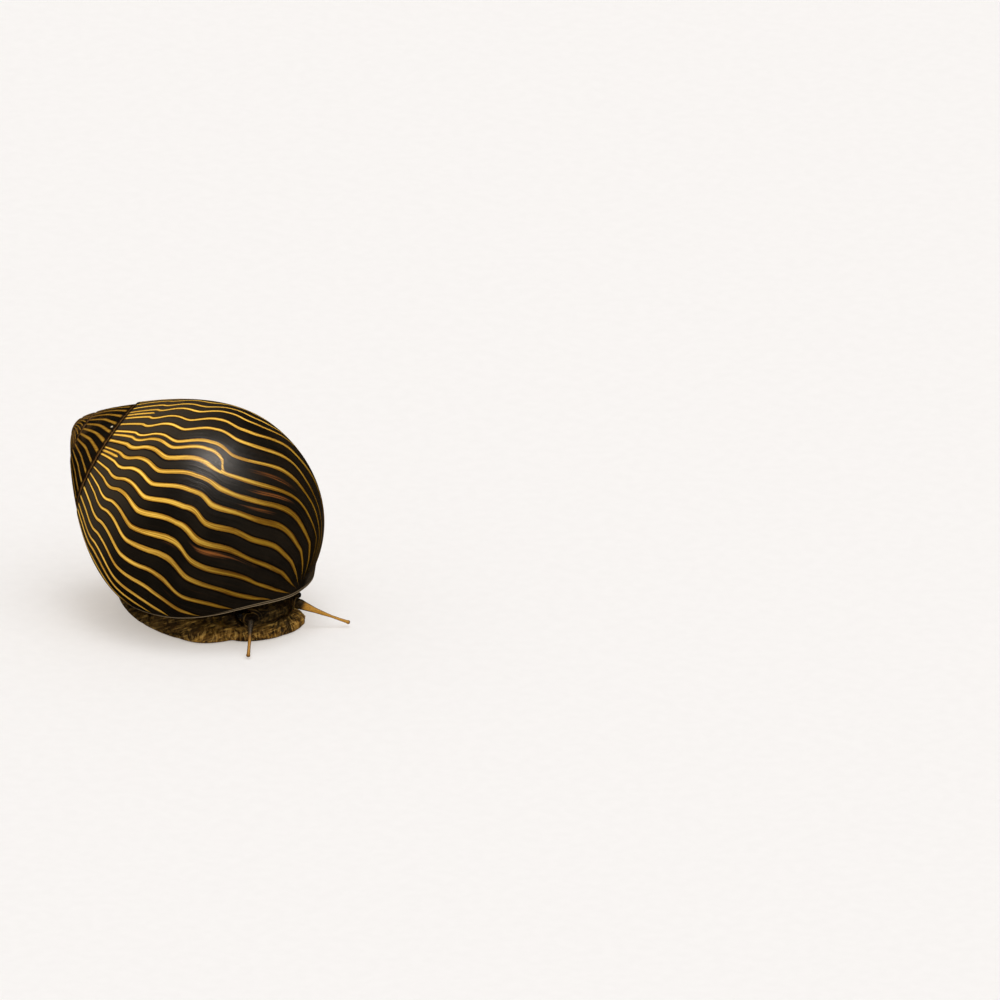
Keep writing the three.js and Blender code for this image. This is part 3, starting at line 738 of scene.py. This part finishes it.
TENTACLES = {
    "right": dict(root=(8.1, -2.0, 2.3), knee=(9.5, -3.75, 1.3), tip=(10.28, -4.9, 0.24)),
    "left": dict(root=(8.6, 3.9, 2.2), knee=(10.1, 5.2, 1.3), tip=(11.8, 6.9, 0.38)),
}
TENTACLE_RADII = dict(right=(0.34, 0.19, 0.15, 0.17), left=(0.46, 0.24, 0.13, 0.16))
EYE_STALKS = {
    "right": dict(root=(7.5, -1.7, 2.2), tip=(7.6, -2.85, 2.8)),
    "left": dict(root=(7.5, 3.7, 2.2), tip=(7.65, 4.8, 2.55)),
}
EYE_STALK_RADIUS = 0.55
EYE_RADIUS = 0.27


def node_mesh(name):
    """Points in millimetres in the sizes' frame, and faces, of a CAD node."""
    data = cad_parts[name].data
    points = np.empty(len(data.vertices) * 3)
    data.vertices.foreach_get("co", points)
    points = points.reshape(-1, 3) / MM + MIDDLE
    merged, inverse = np.unique(np.round(points, 4), axis=0, return_inverse=True)
    inverse = inverse.reshape(-1)
    faces = [tuple(inverse[list(f.vertices)]) for f in data.polygons]
    return merged, [f for f in faces if len(set(f)) == len(f)]


def normals_of(points, faces):
    """Area-weighted normals at the points of a mesh of triangles or quads."""
    total = np.zeros_like(points)
    by_size = {}
    for f in faces:
        by_size.setdefault(len(f), []).append(f)
    for size, group in by_size.items():
        index = np.array(group)
        a, b, c = points[index[:, 0]], points[index[:, 1]], points[index[:, 2]]
        n = np.cross(b - a, c - a)
        for corner in range(size):
            np.add.at(total, index[:, corner], n)
    length = np.linalg.norm(total, axis=1, keepdims=True)
    return total / np.maximum(length, 1e-12)


def arrays_of(mesh):
    points = np.empty(len(mesh.vertices) * 3)
    mesh.vertices.foreach_get("co", points)
    corners = np.empty(len(mesh.loops), np.int64)
    mesh.loops.foreach_get("vertex_index", corners)
    return points.reshape(-1, 3), corners.reshape(-1, 4)


def remeshed(parts, voxel):
    """One closed skin of quads round several closed meshes, in millimetres."""
    points, faces = [], []
    for part_points, part_faces in parts:
        start = sum(len(p) for p in points)
        points.append(part_points)
        faces += [tuple(int(i) + start for i in f) for f in part_faces]
    joined = mesh_object("joined", np.concatenate(points), faces)
    change = joined.modifiers.new("remesh", "REMESH")
    change.mode = "VOXEL"
    change.voxel_size = voxel
    graph = bpy.context.evaluated_depsgraph_get()
    made = bpy.data.meshes.new_from_object(joined.evaluated_get(graph))
    result = arrays_of(made)
    bpy.data.objects.remove(joined)
    bpy.data.meshes.remove(made)
    return result


def edges_of(quads):
    pairs = np.concatenate([quads[:, [i, (i + 1) % 4]] for i in range(4)])
    return np.unique(np.sort(pairs, axis=1), axis=0)


def relaxed(points, quads, times):
    """Moves each point towards the middle of its neighbours."""
    edges = edges_of(quads)
    count = np.bincount(edges.ravel(), minlength=len(points))[:, None]
    for _ in range(times):
        total = np.zeros_like(points)
        for along in range(3):
            total[:, along] = (
                np.bincount(edges[:, 0], points[edges[:, 1], along], len(points))
                + np.bincount(edges[:, 1], points[edges[:, 0], along], len(points))
            )
        points = 0.5 * points + 0.5 * total / np.maximum(count, 1)
    return points


def tube(path, radii, sides=24):
    """A closed round body along points, with a rounded end."""
    path = np.asarray(path, float)
    tangents = np.gradient(path, axis=0)
    rings = []
    for centre, tangent, radius in zip(path, tangents, radii):
        tangent = unit(tangent)
        across = unit(np.cross((0, 0, 1), tangent))
        rise = np.cross(tangent, across)
        angle = np.arange(sides) * TURN / sides
        rings.append(centre + radius * (np.outer(np.cos(angle), across) + np.outer(np.sin(angle), rise)))
    points = np.concatenate([*rings, path[:1], path[-1:]])
    return points, grid_faces(len(rings), sides).tolist() + end_caps(len(rings), sides, len(points))


def tentacle_path(hand, share):
    root, knee, tip = (np.array(TENTACLES[hand][k]) for k in ("root", "knee", "tip"))
    share = np.asarray(share)[..., None]
    return root * (1 - share) ** 2 + knee * 2 * share * (1 - share) + tip * share ** 2


def tentacle_radius(hand, share):
    stops = np.linspace(0, 1, len(TENTACLE_RADII[hand]))
    radius = np.interp(share, stops, TENTACLE_RADII[hand])
    bulb = 0.05 * np.exp(-((share - 0.965) / 0.02) ** 2)
    end = np.clip((1 - share) / 0.03, 0, 1)
    return (radius + bulb) * np.sqrt(np.maximum(1 - (1 - end) ** 2, 0.01))


def body_skin():
    """The flesh as one smooth skin, before its folds."""
    parts = []
    for name in FLESH_NODES:
        points, faces = node_mesh(name)
        grown = points + SKIN_GROW * normals_of(points, faces)
        parts.append((grown, faces))
    points, quads = remeshed(parts, FIRST_VOXEL)
    points = relaxed(points, quads, 24)
    points = points - (SKIN_GROW - 0.02) * normals_of(points, quads.tolist())
    parts = [(points, quads.tolist())]
    for hand in ("right", "left"):
        share = np.linspace(0, 1, 70)
        inward = tentacle_path(hand, 0.0) - unit(tentacle_path(hand, 0.1) - tentacle_path(hand, 0.0)) * 0.8
        path = np.concatenate([[inward], tentacle_path(hand, share)])
        radii = np.concatenate([[TENTACLE_RADII[hand][0]], tentacle_radius(hand, share)])
        parts.append(tube(path, radii))
        stalk = EYE_STALKS[hand]
        root, tip = np.array(stalk["root"]), np.array(stalk["tip"])
        along = np.linspace(-0.2, 0.98, 24)
        end = np.clip((along - 0.62) / 0.38, 0, 1)
        radius = EYE_STALK_RADIUS * (1 - 0.35 * along) * np.sqrt(np.maximum(1 - end * end, 0.02))
        parts.append(tube(root + np.outer(along, tip - root), radius))
    points, quads = remeshed(parts, SKIN_VOXEL)
    return relaxed(points, quads, 4), quads


def skin_piece():
    points, quads = body_skin()
    faces = quads.tolist()
    normal = normals_of(points, faces)
    x, y, z = points.T
    near_tentacle = np.full(len(points), 9.0)
    along_tentacle = np.zeros(len(points))
    for hand in ("right", "left"):
        share = np.linspace(0, 1, 60)
        path = tentacle_path(hand, share)
        away = np.linalg.norm(points[:, None, :] - path[None, :, :], axis=2)
        best = away.argmin(axis=1)
        distance = away.min(axis=1)
        closer = distance < near_tentacle
        near_tentacle = np.where(closer, distance, near_tentacle)
        along_tentacle = np.where(closer, share[best], along_tentacle)
    tentacle = smooth((0.62 - near_tentacle) / 0.15) * smooth((along_tentacle - 0.02) / 0.08)
    lobe = np.stack([x - LOBE_CENTRE[0], y - LOBE_CENTRE[1]], axis=-1)
    turned = np.stack([
        lobe[:, 0] * math.cos(LOBE_TURN) + lobe[:, 1] * math.sin(LOBE_TURN),
        -lobe[:, 0] * math.sin(LOBE_TURN) + lobe[:, 1] * math.cos(LOBE_TURN),
    ], axis=-1) / LOBE_RADII
    bearing = np.arctan2(turned[:, 1], turned[:, 0])
    reach = np.linalg.norm(turned, axis=1)
    on_lobe = smooth((reach - 0.45) / 0.3) * smooth((x - 2.6) / 1.6) * smooth((1.9 - z) / 0.7)
    low = smooth((1.5 - z) / 1.2)
    on_foot = (1 - on_lobe) * (1 - tentacle)
    rise = x * math.sin(STROKE_SLOPE) - z * math.cos(STROKE_SLOPE)
    run = x * math.cos(STROKE_SLOPE) + z * math.sin(STROKE_SLOPE)
    strokes = fractal(np.stack([run * 0.28, rise * 2.3, y * 0.3], axis=-1), 1.0, 3, 21)
    veins = fractal(np.stack([run * 0.5, rise * 1.5, y * 0.5], axis=-1), 1.0, 2, 27)
    cracks = smooth(1 - np.abs(veins) / 0.2)
    grain = fractal(points, 0.35, 3, 31)
    around = bearing * 3.6 + 0.5 * fractal(points, 1.5, 2, 5)
    edge = np.arctan2(y - 0.9, (x + 1.0) * 0.62) * 6.5 + 0.4 * fractal(points, 1.5, 2, 8)
    blank = np.zeros(len(points))
    lobe_tufts = fractal(np.stack([around * 2.4, z * 0.7 + reach, blank], axis=-1), 1.0, 3, 41)
    foot_tufts = fractal(np.stack([edge * 2.6, z * 0.9, blank], axis=-1), 1.0, 3, 43)
    fringe = smooth((0.55 - z) / 0.3) * smooth((x + 6.0) / 3.0)
    rings, socket = np.zeros(len(points)), np.zeros(len(points))
    for hand in ("right", "left"):
        away = np.linalg.norm(points - np.array(TENTACLES[hand]["root"]) - (0.15, -0.1, -0.1), axis=1)
        bent = away + 0.11 * fractal(points, 0.9, 2, 51) - 0.10 * (z - TENTACLES[hand]["root"][2])
        rings += np.sin(TURN * bent / 0.30) * smooth((1.5 - away) / 0.7) * smooth((away - 0.35) / 0.3)
        socket += smooth((0.62 - away) / 0.25) * (0.9 if hand == "right" else 0.4)
    rings *= (1 - tentacle) * smooth(0.75 + 0.7 * fractal(points, 1.1, 2, 57))
    side_relief = 0.75 * strokes + 0.25 * grain - 0.9 * cracks
    side_relief = side_relief * (1 - fringe) + fringe * (1.1 * foot_tufts + 0.2 * strokes)
    lobe_relief = 1.1 * lobe_tufts + 0.25 * grain
    relief = on_foot * side_relief + on_lobe * lobe_relief + 0.35 * rings
    relief *= 1 - 0.85 * tentacle
    height = (on_foot * FOOT_RELIEF + on_lobe * LOBE_RELIEF) * relief
    height *= smooth((z - 0.04) / 0.4) * (1 - tentacle)
    hem = HEM * np.exp(-((z - 0.14) / 0.14) ** 2) * smooth((0.8 - np.abs(normal[:, 2])) / 0.3)
    moved = points + normal * (height + hem * (1 - tentacle))[:, None]
    moved[:, 2] = np.maximum(moved[:, 2], 0.0)
    skin = mesh_object("skin", to_frame(moved), quads)
    neck = smooth((x - 5.0) / 1.5) * smooth((z - 1.3) / 0.6) * (1 - tentacle)
    store(skin, "flow", np.stack([run, rise, y], axis=-1))
    store(skin, "spread", np.stack([around, edge, np.minimum(socket, 1)], axis=-1))
    store(skin, "zones", np.stack([tentacle, neck, on_lobe * low], axis=-1))
    store(skin, "fold", np.stack([relief, along_tentacle, rings], axis=-1))
    return skin


def skin_paint():
    p = Paint("skin_flesh")
    tentacle, neck, lobe = p.split(p.attribute("zones"))
    relief, along, rings = p.split(p.attribute("fold"))
    around, edge, socket = p.split(p.attribute("spread"))
    place = p.position()
    _, y, height = p.split(place)
    cloud = p.noise(place, 0.6, 3.0)
    mottle = p.noise(place, 2.6, 4.0, 0.6, 0.8)
    fine = p.noise(place, 9.0, 3.0)
    hairs = p.noise(p.scaled(p.attribute("flow"), 0.75, 5.6, 0.75), 1.0, 3.0, 0.6, 0.25)
    patches = p.remap(p.noise(place, 0.9, 2.0), 0.38, 0.60, 0.25, 1.0)
    comb_place = p.node("CombineXYZ", {0: around, 1: edge, 2: p.times(height, 0.22)}).outputs[0]
    comb = p.noise(p.scaled(comb_place, 5.0, 5.0, 5.0), 1.0, 3.0, 0.6)
    colour = p.over(srgb(40, 25, 6), srgb(96, 70, 25), mottle, 0.34, 0.66)
    light_hairs = p.times(p.remap(hairs, 0.52, 0.66, 0.0, 0.9), patches)
    colour = p.mix(light_hairs, colour, srgb(168, 134, 68))
    colour = p.over(colour, srgb(20, 11, 2), hairs, 0.47, 0.36, 0.85)
    # Painted shade in the grooves of the skin and painted highlight on its ridges, following the relief that
    # moves the surface.
    colour = p.over(colour, srgb(14, 8, 2), relief, -0.15, -0.75, 0.9)
    colour = p.over(colour, srgb(146, 114, 54), relief, 0.20, 0.85, 0.45)
    colour = p.over(colour, srgb(60, 40, 12), cloud, 0.42, 0.62, 0.5)
    # High on the head, under the shell's lip, the skin is darker: partly its own dark scaly skin, partly
    # painted shade under the shell.
    neck_scales_and_shade = p.times(neck, p.remap(mottle, 0.42, 0.60, 1.0, 0.72))
    colour = p.mix(p.times(neck_scales_and_shade, 0.9), colour, srgb(17, 9, 2))
    low = p.remap(height, 0.55, 0.25)
    lobe = p.times(lobe, 0.7)
    tufts = p.times(p.math("MAXIMUM", low, lobe), p.remap(comb, 0.50, 0.64))
    tufts = p.times(tufts, p.remap(height, 0.1, 0.9, 0.25, 1.0))
    colour = p.mix(p.times(tufts, patches), colour, srgb(196, 160, 92))
    gaps = p.times(p.math("MAXIMUM", low, lobe), p.remap(comb, 0.48, 0.36))
    colour = p.mix(p.times(gaps, 0.8), colour, srgb(28, 18, 7))
    colour = p.mix(lobe, colour, p.mix(1.0, colour, (2.0, 1.8, 1.45, 1), "MULTIPLY"))
    # Painted highlight on the crests and painted shade in the troughs of the folds round the tentacle roots.
    colour = p.over(colour, srgb(116, 88, 44), rings, 0.15, 0.8, 0.5)
    colour = p.over(colour, srgb(26, 16, 5), rings, -0.1, -0.7, 0.5)
    colour = p.mix(socket, colour, srgb(16, 9, 4))
    colour = p.over(colour, srgb(38, 24, 8), height, 0.30, 0.06, 0.85)
    facing = p.node("LayerWeight", {"Blend": 0.45}).outputs["Facing"]
    upper = p.over(srgb(40, 33, 26), srgb(78, 66, 50), fine, 0.35, 0.65)
    limb = p.over(upper, srgb(178, 126, 48), along, 0.30, 0.62)
    golden = p.over(srgb(112, 76, 28), srgb(190, 138, 56), along, 0.02, 0.16)
    limb = p.over(limb, golden, y, 1.0, 2.0)
    limb = p.over(limb, srgb(70, 48, 22), fine, 0.52, 0.68, 0.5)
    limb = p.over(limb, srgb(92, 56, 22), along, 0.955, 0.97, 0.55)
    limb = p.over(limb, srgb(20, 13, 7), facing, 0.22, 0.62, 0.94)
    colour = p.mix(tentacle, colour, limb)
    p.bump(p.math("ADD", p.times(fine, 0.5), p.math("ADD", mottle, hairs)), 0.6, 0.05)
    p.set(Base_Color=colour, Roughness=p.remap(mottle, 0.3, 0.7, 0.34, 0.5))
    p.set(Subsurface_Weight=0.05, Subsurface_Scale=0.0004, Specular_IOR_Level=0.07)
    return p.material


# Small pieces.

def eye_piece(name, centre, outward, rows=28, columns=40):
    """A closed eyeball with a clear bulge where it faces outward, and a faint rim round that."""
    tilt = np.linspace(0.06, math.pi - 0.06, rows)[:, None]
    angle = (np.arange(columns) * TURN / columns)[None, :]
    ring = np.sin(tilt)
    ball = np.stack([ring * np.cos(angle), ring * np.sin(angle), np.cos(tilt) + 0 * angle], axis=-1)
    ball = np.concatenate([ball.reshape(-1, 3), [(0, 0, 1), (0, 0, -1)]])
    facing = ball @ unit(outward)
    bulge = 0.02 * smooth((facing - 0.75) / 0.2) - 0.012 * np.exp(-((facing - 0.72) / 0.05) ** 2)
    points = ball * (EYE_RADIUS + bulge)[:, None] + centre
    caps = end_caps(rows, columns, len(points))
    return mesh_object(name, to_frame(points), grid_faces(rows, columns), caps)


def eye_paint():
    p = Paint("eye_gloss")
    spots = p.noise(p.position(), 6.0, 3.0)
    p.set(Base_Color=p.over(srgb(8, 7, 6), srgb(30, 24, 18), spots, 0.4, 0.65))
    p.set(Roughness=p.remap(spots, 0.3, 0.7, 0.12, 0.22), Specular_IOR_Level=0.22)
    return p.material


def horn_paint():
    p = Paint("operculum_plate")
    place = p.position()
    rings = p.noise(place, 2.2, 4.0)
    lines = p.math("SINE", p.attribute("rings"))
    tone = p.math("ADD", p.times(lines, 0.25), rings)
    p.set(Base_Color=p.over(srgb(46, 30, 18), srgb(122, 88, 56), tone, 0.3, 0.8))
    p.set(Roughness=p.remap(rings, 0.3, 0.7, 0.35, 0.5))
    p.bump(tone, 0.5, 0.04)
    return p.material


def deck_paint():
    p = Paint("deck_enamel")
    place = p.position()
    cloud = p.noise(place, 0.8, 4.0)
    fine = p.noise(place, 6.0, 3.0)
    p.set(Base_Color=p.over(srgb(190, 178, 150), srgb(140, 122, 92), cloud, 0.3, 0.7))
    p.set(Roughness=p.remap(fine, 0.3, 0.7, 0.28, 0.42))
    p.bump(fine, 0.3, 0.03)
    return p.material


def floor_piece():
    """A wide pale floor that glows a little, so that it is even, and that the shell doesn't mirror."""
    reach, cells = 1.5, 24
    line = np.linspace(-reach, reach, cells + 1)
    gx, gy = np.meshgrid(line, line, indexing="ij")
    points = np.stack([gx, gy, np.zeros_like(gx)], axis=-1).reshape(-1, 3)
    i, j = np.meshgrid(np.arange(cells), np.arange(cells), indexing="ij")
    a = i * (cells + 1) + j
    quads = np.stack([a, a + cells + 1, a + cells + 2, a + 1], axis=-1).reshape(-1, 4)
    floor = mesh_object("floor", points, quads)
    p = Paint("floor_paper")
    grain = p.noise(p.position(), 0.8, 3.0)
    p.set(Base_Color=p.over((0.485, 0.505, 0.54, 1), (0.505, 0.525, 0.56, 1), grain, 0.2, 0.8))
    p.set(Roughness=0.9, Specular_IOR_Level=0.1)
    p.set(Emission_Color=(1.0, 0.90, 0.79, 1), Emission_Strength=0.42)
    floor.data.materials.append(p.material)
    floor.visible_glossy = False


# The camera looks as the photograph does, from the right of the head and above.

CAMERA_AZIMUTH = math.radians(40)
CAMERA_ELEVATION = math.radians(20)
CAMERA_DISTANCE = 1500.0
FRAME_WIDTH = 86.58
FRAME_CENTRE = (37.09, -6.91)
SENSOR = 36.0
TO_CAMERA = np.array((
    math.sin(CAMERA_AZIMUTH) * math.cos(CAMERA_ELEVATION),
    -math.cos(CAMERA_AZIMUTH) * math.cos(CAMERA_ELEVATION),
    math.sin(CAMERA_ELEVATION),
))

# Sun lamps: the direction towards each, its strength and its width in degrees.
LAMPS = dict(overhead=((0.06, -0.03, 1.0), 0.5, 22), softbox=((0.45, -0.16, 1.0), 1.2, 62))
WORLD_STRENGTH = 0.56

# One more lamp shows only as a bright reflection on the shell, at this share of a turn and level.
HIGHLIGHT = (-0.411, 0.05)
HIGHLIGHT_STRENGTH = 7.2
HIGHLIGHT_SPREAD = 25


def add_camera():
    right = np.array((math.cos(CAMERA_AZIMUTH), math.sin(CAMERA_AZIMUTH), 0))
    up = np.cross(TO_CAMERA, right)
    target = APEX + right * FRAME_CENTRE[0] + up * FRAME_CENTRE[1]
    target = target + TO_CAMERA * ((heart - APEX) @ TO_CAMERA)
    data = bpy.data.cameras.new("camera")
    data.sensor_width = SENSOR
    data.lens = SENSOR * CAMERA_DISTANCE / FRAME_WIDTH
    camera = bpy.data.objects.new("camera", data)
    camera.location = Vector(to_frame(target + TO_CAMERA * CAMERA_DISTANCE))
    camera.rotation_mode = "QUATERNION"
    camera.rotation_quaternion = Vector(-TO_CAMERA).to_track_quat("-Z", "Y")
    bpy.context.scene.collection.objects.link(camera)
    bpy.context.scene.camera = camera


def toward_highlight():
    """The direction of a lamp that the camera sees mirrored in the shell at the highlight."""
    turn, level = HIGHLIGHT
    turns = np.array((turn, turn, turn + 0.004))
    spot, higher, onward = shell_point(turns, np.array((level, level + 0.01, level)))
    normal = unit(np.cross(higher - spot, onward - spot))
    normal *= np.sign(normal @ (spot - heart))
    return 2 * (normal @ TO_CAMERA) * normal - TO_CAMERA


def add_lamp(name, toward, energy, spread):
    """A far lamp in a direction, as wide as the spread in degrees."""
    data = bpy.data.lights.new(name, "SUN")
    data.energy = energy
    data.angle = math.radians(spread)
    data.color = (1.0, 0.985, 0.96)
    lamp = bpy.data.objects.new(name, data)
    lamp.rotation_mode = "QUATERNION"
    lamp.rotation_quaternion = Vector(toward).to_track_quat("Z", "Y")
    bpy.context.scene.collection.objects.link(lamp)
    return lamp


def add_light():
    """Light from all round and from lamps, of which the shell mirrors the lamps alone."""
    world = bpy.data.worlds.new("studio")
    bpy.context.scene.world = world
    world.use_nodes = True
    background = world.node_tree.nodes["Background"]
    background.inputs["Color"].default_value = (1.0, 0.985, 0.97, 1)
    background.inputs["Strength"].default_value = WORLD_STRENGTH
    world.cycles_visibility.glossy = False
    for name, (toward, energy, spread) in LAMPS.items():
        add_lamp(name, toward, energy, spread)
    window = add_lamp("window", toward_highlight(), HIGHLIGHT_STRENGTH, HIGHLIGHT_SPREAD)
    window.data.color = (1.0, 0.92, 0.84)
    window.visible_diffuse = False
    bpy.context.scene.view_settings.view_transform = "Standard"


def operculum_piece():
    """An oval plate that swells to its middle, with ridges that spiral out from near one end."""
    low, high = (np.array(v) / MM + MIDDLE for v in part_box("operculum"))
    centre = (low + high) / 2
    half = (high - low) / 2
    rows, columns = 40, 120
    share = np.linspace(0.0, 1.0, rows)[:, None]
    angle = (np.arange(columns) * TURN / columns)[None, :]
    spread = np.sin(share * math.pi / 2) + 0 * angle
    x = spread * np.cos(angle)
    y = spread * np.sin(angle)
    from_nucleus = np.hypot(x + 0.55, y + 0.25)
    swirl = np.arctan2(y + 0.25, x + 0.55)
    rings = from_nucleus * 34 - swirl
    flat = np.sqrt(np.maximum(1 - spread ** 6, 0.0))
    crown = flat * (0.75 - 0.2 * spread ** 2) + 0.03 * np.sin(rings)
    upper = np.stack([x, y, crown], axis=-1).reshape(-1, 3)
    lower = np.stack([x, y, -0.7 * flat], axis=-1)[::-1][1:].reshape(-1, 3)
    tilt = math.radians(-6)
    points = np.concatenate([upper, lower]) * (half[0] * 0.985, half[1] * 0.985, 0.3)
    turned = points.copy()
    turned[:, 0] = points[:, 0] * math.cos(tilt) + points[:, 2] * math.sin(tilt)
    turned[:, 2] = -points[:, 0] * math.sin(tilt) + points[:, 2] * math.cos(tilt)
    total_rows = 2 * rows - 1
    plate = mesh_object("operculum_plate", to_frame(turned + centre), grid_faces(total_rows, columns))
    store(plate, "rings", np.concatenate([rings.reshape(-1), rings[::-1][1:].reshape(-1)]))
    return plate


add_camera()
add_light()
floor_piece()

shell = shell_piece()
shell.data.materials.append(shell_paint())
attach(shell, "root")
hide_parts("shell_body_whorl", "shell_spire", "shell_apex")

skin = skin_piece()
skin.data.materials.append(skin_paint())
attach(skin, "root")
LIMB_NODES = [f"tentacle_{hand}_{part}" for hand in ("left", "right") for part in ("base", "middle", "tip")]
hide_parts(*FLESH_NODES, "eye_stalk_left", "eye_stalk_right", *LIMB_NODES)

eye_material = eye_paint()
for hand in ("left", "right"):
    stalk = EYE_STALKS[hand]
    eye = eye_piece(f"eyeball_{hand}", np.array(stalk["tip"]), np.array(stalk["tip"]) - stalk["root"])
    eye.data.materials.append(eye_material)
    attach(eye, "root")
    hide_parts(f"eye_{hand}")

plate = operculum_piece()
plate.data.materials.append(horn_paint())
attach(plate, "root")
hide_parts("operculum")

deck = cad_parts["shell_columellar_deck"]
deck.data.materials.clear()
deck.data.materials.append(deck_paint())
